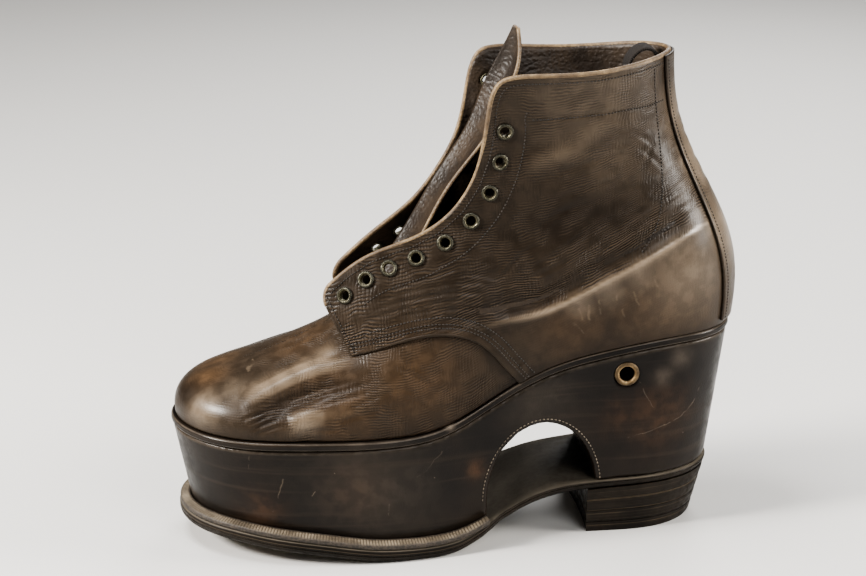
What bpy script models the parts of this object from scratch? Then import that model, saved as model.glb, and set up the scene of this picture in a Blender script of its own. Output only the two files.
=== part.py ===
"""Orthopedic boot: a left lace-up boot on a tall leather-covered platform with an arch opening.

Lengths are in millimetres and turn to metres when a mesh is made.
The toe points along -X, the outer side is -Y, and the tread stands on z = 0.
"""
import math

import bmesh
import bpy
import numpy as np

MM = 0.001

# Driving sizes
WALL = 2.0              # vamp leather with its lining
QUARTER_WALL = 2.3      # quarter leather with its lining
QUARTER_STEP = 1.7      # how far the quarters stand proud of the vamp
SEAT_GAP = 0.3          # clearance between pieces that touch
RAND_THICK = 4.0
RAND_PROUD = 2.2
RAND_ROUND = 1.0        # rounding of its outer edge
RAND_REACH = 9.0        # how far the rand goes in under the upper
PLATFORM_PROUD = 1.4
PLATFORM_LEVELS = 4     # rings down the platform's wall
WELT_WIDE = 6.2
WELT_THICK = 4.0        # at the platform's wall
WELT_LIP = 2.8          # at the welt's outer edge
INSOLE_THICK = 2.8
SIDE_STEPS = 26         # points along each side of an outline
CENTRE = (1.15, -1.75)  # x, y of the whole boot's middle in the coordinates of the tables below
CUT_HALF = 70.0         # half length of a cutter that goes right across the boot

# Plan of the feather edge, where upper and rand meet: x, outer side y, inner side y
FOOT_PLAN = (
    (-140.5, 3.0, 3.0),       # toe tip
    (-131.0, -22.0, 28.0),    # toe corner
    (-112.0, -37.5, 40.0),    # toe side
    (-84.0, -45.0, 44.0),     # inner ball
    (-50.0, -48.0, 41.0),     # outer ball
    (-15.0, -45.0, 35.5),     # behind the ball
    (20.0, -38.0, 31.0),      # waist
    (62.0, -33.0, 31.5),      # heel front
    (104.0, -32.5, 32.5),     # heel middle
    (130.0, -21.5, 21.5),     # heel corner
    (140.5, 0.0, 0.0),        # heel tip
)

# Plan of the platform where it stands on the outsole, row for row with the foot plan
TREAD_PLAN = (
    (-133.5, 3.0, 3.0),
    (-125.0, -18.5, 26.0),
    (-108.0, -31.5, 37.0),
    (-82.0, -40.5, 41.0),
    (-50.0, -44.5, 38.5),
    (-15.0, -42.0, 33.0),
    (20.0, -35.5, 28.0),
    (62.0, -31.0, 28.5),
    (100.0, -30.5, 30.0),
    (123.0, -20.0, 20.0),
    (133.0, 0.0, 0.0),
)

# Heights along the boot: x, height
FEATHER_LINE = (
    (-142.0, 66.0), (-110.0, 66.0), (-60.0, 66.0), (-30.0, 66.3), (-10.0, 69.5), (8.0, 77.6),
    (28.0, 88.0), (49.0, 96.0), (70.0, 101.0), (100.0, 106.2), (142.0, 106.5),
)

# Outsole along the boot: x, height of its top, thickness
SOLE_LINE = (
    (-140.0, 17.0, 6.0),     # toe spring
    (-117.0, 16.2, 6.2),
    (-93.0, 13.6, 6.5),
    (-68.0, 10.8, 6.5),
    (-45.0, 7.5, 6.5),
    (-28.0, 6.5, 6.5),       # ball, flat on the floor
    (-14.0, 6.5, 6.5),
    (2.0, 9.2, 6.0),
    (13.0, 13.8, 5.4),
    (34.0, 23.5, 5.0),       # waist
    (50.0, 27.5, 4.8),
    (66.0, 29.0, 4.4),       # heel breast
    (135.0, 31.0, 4.4),
)

# Ridge of the vamp from the toe cap up to the throat: x, y, height
VAMP_RIDGE = (
    (-110.0, 5.0, 91.5), (-92.0, 5.0, 97.5), (-76.0, 4.0, 104.5), (-60.0, 3.0, 113.0),
    (-45.0, 2.0, 124.5), (-30.0, 1.0, 139.0),
)

# Vamp ribs: foot-plan row, ridge x, rise and swell of the side, crown, reach up the rib
VAMP_RIBS = (
    (0.0, -110.0, 0.72, 2.5, 0.55, 1.00),
    (1.0, -109.0, 0.72, 2.5, 0.55, 1.00),
    (2.0, -103.0, 0.68, 3.0, 0.55, 1.00),
    (3.0, -85.0, 0.58, 3.5, 0.58, 1.00),
    (4.0, -60.0, 0.58, 3.0, 0.60, 1.00),
    (4.5, -50.0, 0.74, 2.5, 0.70, 1.00),
    (5.0, -43.0, 0.84, 2.0, 0.76, 0.58),
    (5.5, -37.0, 0.86, 1.5, 0.78, 0.45),
    (6.0, -32.0, 0.86, 1.0, 0.78, 0.24),
    (6.4, -30.0, 0.86, 1.0, 0.78, 0.06),
)

# Seam of the quarters over the vamp: foot-plan row, reach up the vamp's rib
SEAM = ((4.0, 0.58), (4.65, 0.47), (5.3, 0.35), (5.8, 0.20), (6.20, 0.0))
TUCK = 2.2              # how far the vamp draws in under the quarters
TUCK_START = 0.01       # share of a rib above the seam
TUCK_RUN = 0.08
TUCK_CORNER = 0.2       # plan rows behind the quarter's front corner
TUCK_CORNER_RUN = 0.5

# Outer quarter from its front corner to the heel: foot-plan row of its lower edge, x, y, z of its
# upper edge, belly and sway of the wall between them
OUTER_QUARTER = (
    (4.00, -67.0, -15.0, 132.0, 1.5, 0.0),    # front corner
    (4.65, -45.0, -19.5, 151.0, 2.0, 0.0),
    (5.30, -19.0, -22.0, 162.0, 2.0, 0.0),
    (5.80, -3.0, -24.0, 174.5, 3.0, 0.5),
    (6.22, 8.4, -27.0, 196.0, 1.5, 2.0),      # seam meets the feather edge
    (6.45, 12.3, -29.5, 220.0, 0.0, 2.5),
    (6.62, 15.0, -30.0, 234.0, -0.5, 3.0),
    (6.72, 18.5, -30.8, 239.5, -0.5, 3.0),    # collar corner
    (6.82, 24.5, -32.3, 242.0, -0.5, 3.2),
    (7.00, 36.0, -34.5, 243.0, -0.5, 3.5),
    (7.60, 65.0, -35.5, 244.0, 0.5, 4.0),
    (8.40, 86.0, -27.0, 245.5, 2.0, 5.2),
    (9.20, 100.5, -13.0, 246.0, 3.0, 6.2),
)
HEEL_BACK = (10.0, 106.0, 0.0, 246.0, 3.0, 6.2)
INNER_QUARTER = (
    (4.00, -58.0, 17.0, 133.0, 1.5, 0.0),
    (4.65, -38.0, 19.5, 150.0, 2.0, 0.0),
    (5.30, -15.0, 22.0, 168.0, 2.0, 0.0),
    (5.80, -3.0, 24.0, 183.0, 3.0, 0.5),
    (6.22, 6.0, 26.5, 199.0, 1.5, 2.0),
    (6.45, 11.5, 29.0, 222.0, 0.0, 2.5),
    (6.62, 14.5, 29.3, 234.5, -0.5, 3.0),
    (6.72, 18.5, 30.0, 240.0, -0.5, 3.0),
    (6.82, 24.5, 31.5, 241.5, -0.5, 3.2),
    (7.00, 36.0, 34.0, 241.0, -0.5, 3.5),
    (7.60, 64.0, 35.5, 239.5, 0.5, 4.0),
    (8.40, 86.0, 27.0, 242.0, 2.0, 5.2),
    (9.20, 100.5, 13.0, 245.0, 3.0, 6.2),
)
RIB_STEPS = 10          # faces up a rib
VAMP_STEPS = 20         # faces along each side of the vamp
QUARTER_STEPS = 54      # faces round the quarters
BACKSTAY_HALF = 16.0    # half width at the collar
BACKSTAY_THICK = 1.3
BACKSTAY_START = 0.02   # share of the wall's height where it starts
BACKSTAY_STEPS = 6      # faces across it

# Tongue from its root to its tip: inner edge x, y, z, then outer edge x, y, z
TONGUE_EDGES = (
    (-58.0, 11.0, 106.5, -58.0, -11.0, 106.5),
    (-46.0, 9.0, 118.0, -44.0, -11.0, 118.5),
    (-32.0, 14.0, 137.5, -27.0, -11.0, 140.0),
    (-12.5, 17.0, 170.0, -9.0, -9.0, 173.0),
    (8.5, 18.0, 203.5, 14.0, -8.0, 205.0),
    (19.0, 17.0, 228.0, 27.0, -7.0, 229.0),
    (27.5, 12.0, 248.0, 32.5, -2.0, 246.0),
    (31.0, 8.5, 258.0, 32.5, 4.5, 257.0),
)
TONGUE_THICK = 1.8
TONGUE_STEPS = 16
TONGUE_ACROSS = 6
TONGUE_BOW = 4.0        # how far its middle bows forward
TONGUE_FULL = 20.0      # a narrower tongue bows less

# Eyelets
EYELETS = 9
EYELET_PITCH = 14.2     # along the facing edge
EYELET_START = 9.5      # from the quarter's front corner to the first eyelet
EYELET_INSET = 9.4      # from the facing edge
EYELET_FLANGE = 4.2     # radii
EYELET_BARREL = 2.7
EYELET_BORE = 2.1
EYELET_HOLE = 3.1
EYELET_SEAT = 0.95      # flange above the middle of its curved seat
EYELET_ROLL = 0.7       # height of the rolled flange
EYELET_DEEP = 2.8
EYELET_CUT = (3.0, -6.0)    # ends of the hole's cutter above and below the seat
FACING_LONG = 190.0     # stretch of the quarter's upper edge that the eyelets lie along
EYELET_SIDES = 10

# Arch opening through the platform, and the brace socket behind it
ARCH_MIDDLE = 41.0
ARCH_HALF = 28.3
ARCH_SPRING = 26.0
ARCH_TOP = 64.0
ARCH_CUT_LOW = -10.0
SOCKET_X = 83.3
SOCKET_Z = 88.5
SOCKET_BORE = 3.65      # radii
SOCKET_OUTER = 5.4
SOCKET_HALF_LONG = 34.4
ROUND_SIDES = 24

# Stacked heel: breast position, and the share of the heel's height at each joint
HEEL_BREAST = 65.5
HEEL_JOINTS = (1.0, 0.74, 0.48, 0.22, 0.0)
HEEL_TAPER_LONG = 0.10
HEEL_TAPER_WIDE = 0.07
HEEL_HOLLOW = 1.5       # curve of the breast
HEEL_STEPS = 14

# Webbing pull loop inside the back of the collar
LOOP_WIDE = 11.0
LOOP_THICK = 1.4
LOOP_STEPS = 18
LOOP_PATH = (            # x, height
    (104.4, 224.0), (103.6, 234.0), (100.9, 243.0), (95.5, 247.0), (88.5, 243.5), (86.0, 236.5),
    (91.5, 226.5), (99.5, 217.0), (106.4, 210.0),
)

# How far the outsole's edge stands out from the platform: plan row, distance
SOLE_PROUD = ((0.0, 6.6), (5.3, 6.6), (5.7, 5.0), (6.0, 1.2), (6.4, 0.6), (10.0, 0.8))
WELT_LAST_ROW = 5.8     # the welt ends at the last ring point before this plan row
EDGE_BEVEL = 3.0        # rounding of the outsole's lower edge


# Curves through the rows of a table

def curve_through(places, rows):
    """Natural cubic curve through the rows, as a function of place."""
    places = np.asarray(places, float)
    rows = np.asarray(rows, float).reshape(len(places), -1)
    gaps = np.diff(places)[:, None]
    slopes = np.diff(rows, axis=0) / gaps
    count = len(places)
    matrix = np.eye(count)
    bends = np.zeros_like(rows)
    for i in range(1, count - 1):
        matrix[i, i - 1:i + 2] = gaps[i - 1, 0], 2 * (gaps[i - 1, 0] + gaps[i, 0]), gaps[i, 0]
        bends[i] = 3 * (slopes[i] - slopes[i - 1])
    bends = np.linalg.solve(matrix, bends)

    def at(place):
        place = np.atleast_1d(np.asarray(place, float))
        i = np.clip(np.searchsorted(places, place, side="right") - 1, 0, count - 2)
        step = (place - places[i])[:, None]
        gap = gaps[i]
        rise = slopes[i] - gap * (2 * bends[i] + bends[i + 1]) / 3
        return rows[i] + step * (rise + step * (bends[i] + step * (bends[i + 1] - bends[i]) / (3 * gap)))
    return at


def line_of(table):
    """Height along the boot from a table of x and height."""
    curve = curve_through([row[0] for row in table], [row[1] for row in table])
    return lambda x: curve(x)[:, 0]


def plan_curve(plan):
    """Closed outline of a plan, as a function of signed plan row: outer side negative, inner positive."""
    outer = [(x, y_out) for x, y_out, _ in plan]
    inner = [(x, y_in) for x, _, y_in in plan]
    loop = np.array(outer + inner[-2:0:-1])
    wrap = 4
    loop = np.vstack([loop[-wrap:], loop, loop[:wrap + 1]])
    lengths = np.r_[0.0, np.cumsum(np.linalg.norm(np.diff(loop, axis=0), axis=1))]
    curve = curve_through(lengths, loop)
    rows = np.arange(len(loop)) - wrap
    turn = 2 * (len(plan) - 1)

    def at(signed_row):
        row = np.mod(-np.atleast_1d(np.asarray(signed_row, float)), turn)
        return curve(np.interp(row, rows, lengths))
    return at


feather_height = line_of(FEATHER_LINE)
foot_plan = plan_curve(FOOT_PLAN)
tread_plan = plan_curve(TREAD_PLAN)
LAST_ROW = len(FOOT_PLAN) - 1
sole_line = curve_through([row[0] for row in SOLE_LINE], [row[1:] for row in SOLE_LINE])


def sole_top_height(x):
    """Top of the outsole."""
    return sole_line(x)[:, 0]


def sole_bottom_height(x):
    """Underside of the outsole: flat where the ball stands, rising to the toe and the waist."""
    top, thick = sole_line(x).T
    return np.maximum(top - thick, 0.0)


def outward(plan, signed_row):
    """Unit normals of an outline in plan, pointing away from the boot."""
    step = 0.02
    along = plan(np.asarray(signed_row) + step) - plan(np.asarray(signed_row) - step)
    along /= np.linalg.norm(along, axis=1)[:, None]
    return np.stack([-along[:, 1], along[:, 0]], axis=1)


def ring_rows():
    """Signed plan rows of one ring: from the toe tip down the outer side and back up the inner side."""
    side = np.linspace(0.0, LAST_ROW, SIDE_STEPS + 1)
    return np.r_[-side, side[-2:0:-1]]


def grown(plan, signed_row, distance):
    """Outline points moved outwards by a distance."""
    return plan(signed_row) + outward(plan, signed_row) * np.reshape(distance, (-1, 1))


# Mesh making

def plain_material(name, colour, roughness, metallic=0.0):
    """Plain material of one sub-part."""
    material = bpy.data.materials.new(name)
    material.use_nodes = True
    shader = material.node_tree.nodes["Principled BSDF"]
    shader.inputs["Base Color"].default_value = (*colour, 1.0)
    shader.inputs["Roughness"].default_value = roughness
    shader.inputs["Metallic"].default_value = metallic
    return material


def make_object(name, points, faces, material, closed=True):
    """Mesh object from points in millimetres, moved so that the boot's middle is the origin."""
    mesh = bpy.data.meshes.new(name)
    shape = bmesh.new()
    placed = (np.asarray(points, float) - (*CENTRE, 0.0)) * MM
    verts = [shape.verts.new(point) for point in placed]
    for face in faces:
        shape.faces.new([verts[i] for i in face])
    bmesh.ops.remove_doubles(shape, verts=shape.verts, dist=1e-6)
    if closed:
        bmesh.ops.recalc_face_normals(shape, faces=shape.faces)
    shape.to_mesh(mesh)
    shape.free()
    mesh.shade_smooth()
    mesh.set_sharp_from_angle(angle=math.radians(40))
    mesh.materials.append(material)
    obj = bpy.data.objects.new(name, mesh)
    bpy.context.collection.objects.link(obj)
    return obj


def grid_faces(columns, rows, wrap=False):
    """Quads of a grid of points held column by column."""
    last = columns if wrap else columns - 1
    faces = []
    for i in range(last):
        here, there = i * rows, (i + 1) % columns * rows
        for j in range(rows - 1):
            faces.append((here + j, there + j, there + j + 1, here + j + 1))
    return faces


def sheet(name, grid, material, thick, offset):
    """Leather sheet of an even thickness on a grid of points; offset 1 grows outwards, -1 inwards."""
    columns, rows, _ = grid.shape
    obj = make_object(name, grid.reshape(-1, 3), grid_faces(columns, rows), material, closed=False)
    solidify = obj.modifiers.new("wall", "SOLIDIFY")
    solidify.thickness = thick * MM
    solidify.offset = offset
    return obj


def stacked_rings(name, rings, material, flat=False):
    """Solid from closed rings stacked top to bottom, capped flat or by strips from side to side."""
    count = len(rings[0])
    half = count // 2
    points = np.vstack(rings)
    faces = []
    for level in range(len(rings) - 1):
        for k in range(count):
            following = (k + 1) % count
            high, low = level * count, (level + 1) * count
            faces.append((high + k, high + following, low + following, low + k))
    for base in (0, (len(rings) - 1) * count):
        if flat:
            faces.append(tuple(range(base, base + count)))
            continue
        faces.append((base, base + 1, base + count - 1))
        for k in range(1, half - 1):
            faces.append((base + k, base + k + 1, base + count - k - 1, base + count - k))
        faces.append((base + half - 1, base + half, base + half + 1))
    return make_object(name, points, faces, material)


def swept_loop(name, profiles, material, wrap):
    """Solid from a closed profile carried along a path; an open path gets flat ends."""
    profiles = np.asarray(profiles)
    count, corners, _ = profiles.shape
    faces = []
    for i in range(count if wrap else count - 1):
        here, there = i * corners, (i + 1) % count * corners
        for j in range(corners):
            following = (j + 1) % corners
            faces.append((here + j, there + j, there + following, here + following))
    if not wrap:
        faces.append(tuple(range(corners)))
        faces.append(tuple((count - 1) * corners + j for j in range(corners)))
    return make_object(name, profiles.reshape(-1, 3), faces, material)


def with_height(plan_points, heights):
    """Plan points lifted to their heights."""
    return np.column_stack([plan_points, np.broadcast_to(heights, len(plan_points))])


def boolean(obj, tool, operation):
    """Exact Boolean whose tool is kept as a hidden guide."""
    tool.hide_render = True
    tool.display_type = "WIRE"
    modifier = obj.modifiers.new(tool.name, "BOOLEAN")
    modifier.operation = operation
    modifier.solver = "EXACT"
    modifier.object = tool


# The upper's own form

vamp_rib = curve_through([row[0] for row in VAMP_RIBS], [row[1:5] for row in VAMP_RIBS])
vamp_ridge = curve_through([row[0] for row in VAMP_RIDGE], [row[1:] for row in VAMP_RIDGE])
seam_curve = curve_through([row[0] for row in SEAM], [row[1] for row in SEAM])
SEAM_START, SEAM_END = SEAM[0][0], SEAM[-1][0]


def seam_reach(signed_row):
    """How far up the vamp's rib the quarters' lower edge lies."""
    row = np.clip(np.abs(signed_row), SEAM_START, SEAM_END)
    return np.maximum(seam_curve(row)[:, 0], 0.0)


def ease(share):
    """Smooth step from 0 to 1."""
    share = np.clip(share, 0.0, 1.0)
    return share * share * (3 - 2 * share)


def vamp_reach(signed_row):
    """How far up its rib the vamp goes before it ends under the quarters."""
    return np.interp(np.abs(signed_row), [row[0] for row in VAMP_RIBS], [row[5] for row in VAMP_RIBS])


def feather_point(signed_row):
    """Lower edge of the upper, just above the rand."""
    plan = foot_plan(signed_row)
    return with_height(plan, feather_height(plan[:, 0]) + 2 * SEAT_GAP)


def vamp_point(signed_row, reach):
    """Point on the vamp: a rib rises from the feather edge, swells, and lies over to the ridge."""
    signed_row, reach = np.broadcast_arrays(np.atleast_1d(signed_row).astype(float), reach)
    ridge_x, rise, swell, crown = vamp_rib(np.abs(signed_row)).T
    foot = feather_point(signed_row)
    top = np.column_stack([ridge_x, vamp_ridge(ridge_x)])
    slope = (vamp_ridge(ridge_x + 1)[:, 1] - vamp_ridge(ridge_x - 1)[:, 1]) / 2
    away = foot - top
    away[:, 2] = 0.0
    side = foot + away / np.linalg.norm(away, axis=1)[:, None] * swell[:, None]
    side[:, 2] += rise * (top[:, 2] - foot[:, 2])
    over = top + away * crown[:, None]
    over[:, 2] += slope * (over[:, 0] - top[:, 0])
    t = reach[:, None]
    point = (1 - t) ** 3 * foot + 3 * (1 - t) ** 2 * t * side + 3 * (1 - t) * t ** 2 * over + t ** 3 * top
    past_seam = ease((reach - seam_reach(signed_row) - TUCK_START) / TUCK_RUN)
    behind_front = ease((np.abs(signed_row) - SEAM_START - TUCK_CORNER) / TUCK_CORNER_RUN)
    tuck = TUCK * past_seam * behind_front
    point[:, :2] -= outward(foot_plan, signed_row) * tuck[:, None]
    return point


def quarter_rows():
    """Rows of both quarters in one run, from the outer front corner round the heel to the inner one."""
    outer = [(-row[0], *row[1:]) for row in OUTER_QUARTER]
    heel = [(-HEEL_BACK[0], *HEEL_BACK[1:])]
    turn = 2 * LAST_ROW
    inner = [(row[0] - turn, *row[1:]) for row in reversed(INNER_QUARTER)]
    return np.array(outer + heel + inner)


def along_edge(rows):
    """Distance of each row along the upper edge of the quarters."""
    return np.r_[0.0, np.cumsum(np.linalg.norm(np.diff(rows[:, 1:4], axis=0), axis=1))]


QUARTER_ALONG = along_edge(quarter_rows())
HEEL_ALONG = QUARTER_ALONG[len(OUTER_QUARTER)]
quarter_at = curve_through(QUARTER_ALONG, quarter_rows())


def quarter_point(along, reach):
    """Point on the quarters: a wall from its lower edge, on vamp or rand, up to facing and collar."""
    along, reach = np.broadcast_arrays(np.atleast_1d(along).astype(float), reach)
    run, top_x, top_y, top_z, belly, sway = quarter_at(along).T
    row = np.where(run < -LAST_ROW, run + 2 * LAST_ROW, run)
    on_vamp = vamp_point(np.clip(row, -SEAM_END, SEAM_END), seam_reach(row))
    low = np.where((np.abs(row) < SEAM_END)[:, None], on_vamp, feather_point(row))
    top = np.column_stack([top_x, top_y, top_z])
    bulge = belly * np.sin(math.pi * reach) + sway * np.sin(2 * math.pi * reach)
    away = np.column_stack([outward(foot_plan, run), np.zeros(len(run))])
    return low + (top - low) * reach[:, None] + away * bulge[:, None]


def quarter_normal(along, reach):
    """Unit normal of the quarters, pointing out of the boot."""
    step = 0.5
    forward = quarter_point(along + step, reach) - quarter_point(along - step, reach)
    upward = quarter_point(along, reach + 0.01) - quarter_point(along, reach - 0.01)
    normal = np.cross(forward, upward)
    return normal / np.linalg.norm(normal, axis=1)[:, None]


def quarter_columns():
    """Places round the quarters, with columns at the backstay's edges."""
    half = QUARTER_STEPS // 2
    outer = np.linspace(0.0, HEEL_ALONG - BACKSTAY_HALF, half)
    inner = np.linspace(HEEL_ALONG + BACKSTAY_HALF, QUARTER_ALONG[-1], half)
    return np.r_[outer, backstay_columns()[1:-1], inner]


def backstay_columns():
    """Places across the backstay."""
    return HEEL_ALONG + np.linspace(-BACKSTAY_HALF, BACKSTAY_HALF, BACKSTAY_STEPS + 1)


def eyelet_seats():
    """Middle and axis of each eyelet, set in from each facing edge at an even pitch."""
    seats = []
    reaches = np.linspace(0.6, 1.0, 81)
    for side, front, turn in (("lateral", 0.0, 1.0), ("medial", QUARTER_ALONG[-1], -1.0)):
        places = front + turn * np.arange(0.0, FACING_LONG, 0.5)
        panel = np.array([quarter_point(place, reaches) for place in places])
        for number in range(EYELETS):
            along = front + turn * (EYELET_START + number * EYELET_PITCH)
            edge = quarter_point(along, 1.0)[0]
            run = turn * (quarter_point(along + 1, 1.0) - quarter_point(along - 1, 1.0))[0]
            inward = np.cross(run, quarter_normal(np.array([along]), np.array([0.97]))[0]) * turn
            target = edge + inward / np.linalg.norm(inward) * EYELET_INSET
            nearest = np.argmin(np.linalg.norm(panel - target, axis=2))
            column, level = np.unravel_index(nearest, panel.shape[:2])
            axis = quarter_normal(places[column:column + 1], reaches[level:level + 1])[0]
            seats.append((f"eyelet_{side}_{number + 1}", panel[column, level] + axis * QUARTER_STEP, axis))
    return seats


def turned(middle, axis, profile, sides):
    """Rings of points turned about an axis from a profile of radius and height."""
    across = np.cross(axis, (0.0, 0.0, 1.0))
    across /= np.linalg.norm(across)
    other = np.cross(axis, across)
    angles = np.arange(sides) * 2 * math.pi / sides
    spokes = np.cos(angles)[:, None] * across + np.sin(angles)[:, None] * other
    return np.array([[middle + spoke * radius + axis * height for radius, height in profile]
                     for spoke in spokes])


def make_upper(material):
    """Vamp and quarters as one hollow wall with the eyelet holes through it."""
    levels = np.linspace(0.0, 1.0, RIB_STEPS + 1)
    steps = np.linspace(0.0, VAMP_RIBS[-1][0], VAMP_STEPS + 1)
    runs = np.r_[-steps[::-1], steps[1:]]
    vamp = np.array([vamp_point(run, levels * vamp_reach(run)) for run in runs])
    upper = sheet("upper", vamp, material, WALL, -1.0)
    quarters = np.array([quarter_point(along, levels) for along in quarter_columns()])
    quarters = sheet("quarters_form", quarters, material, QUARTER_WALL, 2 * QUARTER_STEP / QUARTER_WALL - 1)
    boolean(upper, quarters, "UNION")
    holes, faces = [], []
    for _, middle, axis in eyelet_seats():
        first = len(holes) * 2 * EYELET_SIDES
        holes.append(turned(middle, axis, [(EYELET_HOLE, end) for end in EYELET_CUT], EYELET_SIDES))
        faces += [tuple(first + i for i in face) for face in grid_faces(EYELET_SIDES, 2, wrap=True)]
        faces.append(tuple(first + 2 * k for k in range(EYELET_SIDES)))
        faces.append(tuple(first + 2 * k + 1 for k in range(EYELET_SIDES)))
    holes = make_object("eyelet_holes_form", np.array(holes).reshape(-1, 3), faces, material)
    boolean(upper, holes, "DIFFERENCE")


def make_backstay(material):
    """Strip over the back seam, lying on the quarters."""
    levels = np.linspace(BACKSTAY_START, 1.0, RIB_STEPS + 1)
    grid = np.array([quarter_point(along, levels) for along in backstay_columns()])
    offset = 2 * (QUARTER_STEP + SEAT_GAP) / BACKSTAY_THICK + 1
    sheet("backstay", grid, material, BACKSTAY_THICK, offset)


def make_tongue(material):
    """Loose tongue: a bowed sheet between its two edges, rooted under the vamp."""
    rows = np.array(TONGUE_EDGES)
    middles = (rows[:, :3] + rows[:, 3:]) / 2
    along = np.r_[0.0, np.cumsum(np.linalg.norm(np.diff(middles, axis=0), axis=1))]
    edges = curve_through(along, rows)
    grid = []
    for place in np.linspace(0.0, along[-1], TONGUE_STEPS + 1):
        inner, outer = edges(place)[0, :3], edges(place)[0, 3:]
        run = (edges(place + 1) - edges(place - 1))[0]
        front = np.cross(run[:3] + run[3:], outer - inner)
        front /= np.linalg.norm(front)
        share = np.linspace(0.0, 1.0, TONGUE_ACROSS + 1)[:, None]
        bow = TONGUE_BOW * min(1.0, np.linalg.norm(outer - inner) / TONGUE_FULL) * 4 * share * (1 - share)
        grid.append(inner + (outer - inner) * share + front * bow)
    sheet("tongue", np.array(grid), material, TONGUE_THICK, 0.0)


def make_pull_loop(material):
    """Webbing loop that flops forward inside the back of the collar."""
    path = np.array(LOOP_PATH)
    along = np.r_[0.0, np.cumsum(np.linalg.norm(np.diff(path, axis=0), axis=1))]
    curve = curve_through(along, path)
    places = np.linspace(0.0, along[-1], LOOP_STEPS + 1)
    run = curve(places + 0.5) - curve(places - 0.5)
    run /= np.linalg.norm(run, axis=1)[:, None]
    face = np.column_stack([-run[:, 1], run[:, 0]]) * LOOP_THICK / 2
    profiles = []
    for (x, z), (dx, dz) in zip(curve(places), face):
        half = LOOP_WIDE / 2
        profiles.append(((x + dx, -half, z + dz), (x + dx, half, z + dz),
                         (x - dx, half, z - dz), (x - dx, -half, z - dz)))
    swept_loop("pull_loop", profiles, material, wrap=False)


# What the upper stands on

def level_ring(plan, distance, height_line, lift):
    """Ring of a plan moved outwards, at a height line plus a lift."""
    points = grown(plan, ring_rows(), np.broadcast_to(distance, len(ring_rows())))
    return with_height(points, height_line(points[:, 0]) + lift)


def make_insole(material):
    """Board inside the upper, on rand and platform."""
    inset = -(WALL + 3 * SEAT_GAP)
    top = level_ring(foot_plan, inset, feather_height, SEAT_GAP + INSOLE_THICK)
    bottom = level_ring(foot_plan, inset, feather_height, SEAT_GAP)
    stacked_rings("insole", [top, bottom], material)


def make_rand(material):
    """Strip between upper and platform, with a rounded outer edge."""
    outline = ((-RAND_REACH, 0.0), (RAND_PROUD - RAND_ROUND, 0.0), (RAND_PROUD, -RAND_ROUND),
               (RAND_PROUD, RAND_ROUND - RAND_THICK), (RAND_PROUD - RAND_ROUND, -RAND_THICK),
               (-RAND_REACH, -RAND_THICK))
    rings = [level_ring(foot_plan, distance, feather_height, lift) for distance, lift in outline]
    swept_loop("rand", np.stack(rings, axis=1), material, wrap=True)


def make_platform(material):
    """Raise under the upper: a rebated top, walls drawn in to the tread, arch opening and cross bore."""
    boss = -(RAND_REACH + SEAT_GAP)
    under = -(RAND_THICK + SEAT_GAP)
    rings = [level_ring(foot_plan, boss, feather_height, -SEAT_GAP),
             level_ring(foot_plan, boss, feather_height, under)]
    top = level_ring(foot_plan, PLATFORM_PROUD, feather_height, under)
    bottom = level_ring(tread_plan, 0.0, sole_top_height, SEAT_GAP)
    for share in np.linspace(0.0, 1.0, PLATFORM_LEVELS):
        rings.append(top + (bottom - top) * share)
    platform = stacked_rings("platform", rings, material)
    boolean(platform, arch_form(material), "DIFFERENCE")
    bore = tube("socket_bore_form", SOCKET_OUTER + SEAT_GAP, 0.0, CUT_HALF, material)
    boolean(platform, bore, "DIFFERENCE")


def arch_form(material):
    """Cutter of the arch opening: a half ellipse on straight legs, across the whole boot."""
    angles = np.linspace(0.0, math.pi, ROUND_SIDES + 1)
    outline = [(ARCH_MIDDLE + ARCH_HALF, ARCH_CUT_LOW)]
    outline += [(ARCH_MIDDLE + ARCH_HALF * math.cos(a),
                 ARCH_SPRING + (ARCH_TOP - ARCH_SPRING) * math.sin(a)) for a in angles]
    outline.append((ARCH_MIDDLE - ARCH_HALF, ARCH_CUT_LOW))
    sides = [[(x, y, z) for x, z in outline] for y in (-CUT_HALF, CUT_HALF)]
    return swept_loop("arch_form", sides, material, wrap=False)


def tube(name, outer, bore, half_long, material):
    """Tube, or rod where the bore is nothing, across the heel at the socket."""
    middle = np.array((SOCKET_X, 0.0, SOCKET_Z))
    axis = np.array((0.0, 1.0, 0.0))
    if bore:
        profile = ((outer, -half_long), (outer, half_long), (bore, half_long), (bore, -half_long))
        return swept_loop(name, turned(middle, axis, profile, ROUND_SIDES), material, wrap=True)
    ends = turned(middle, axis, ((outer, -half_long), (outer, half_long)), ROUND_SIDES)
    return swept_loop(name, np.swapaxes(ends, 0, 1), material, wrap=False)


def make_welt(material):
    """Stitched strip round the forepart, lying on the outsole against the platform."""
    rows = ring_rows()
    rows = np.sort(rows[np.abs(rows) < WELT_LAST_ROW])
    section = ((2.5 * SEAT_GAP, 0.0), (WELT_WIDE, 0.0), (WELT_WIDE, WELT_LIP), (2.5 * SEAT_GAP, WELT_THICK))
    edges = []
    for distance, lift in section:
        plan = grown(tread_plan, rows, np.full(len(rows), distance))
        edges.append(with_height(plan, sole_top_height(plan[:, 0]) + SEAT_GAP + lift))
    swept_loop("forepart_welt", np.stack(edges, axis=1), material, wrap=False)


def make_outsole(material):
    """Sole from toe to heel seat, with toe spring, flat ball and arched waist."""
    rows, proud = np.array(SOLE_PROUD).T
    edge = np.interp(np.abs(ring_rows()), rows, proud)
    rings = [level_ring(tread_plan, edge, sole_top_height, 0.0),
             level_ring(tread_plan, edge, sole_bottom_height, EDGE_BEVEL),
             level_ring(tread_plan, edge - EDGE_BEVEL, sole_bottom_height, 0.0)]
    stacked_rings("outsole", rings, material)


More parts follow.
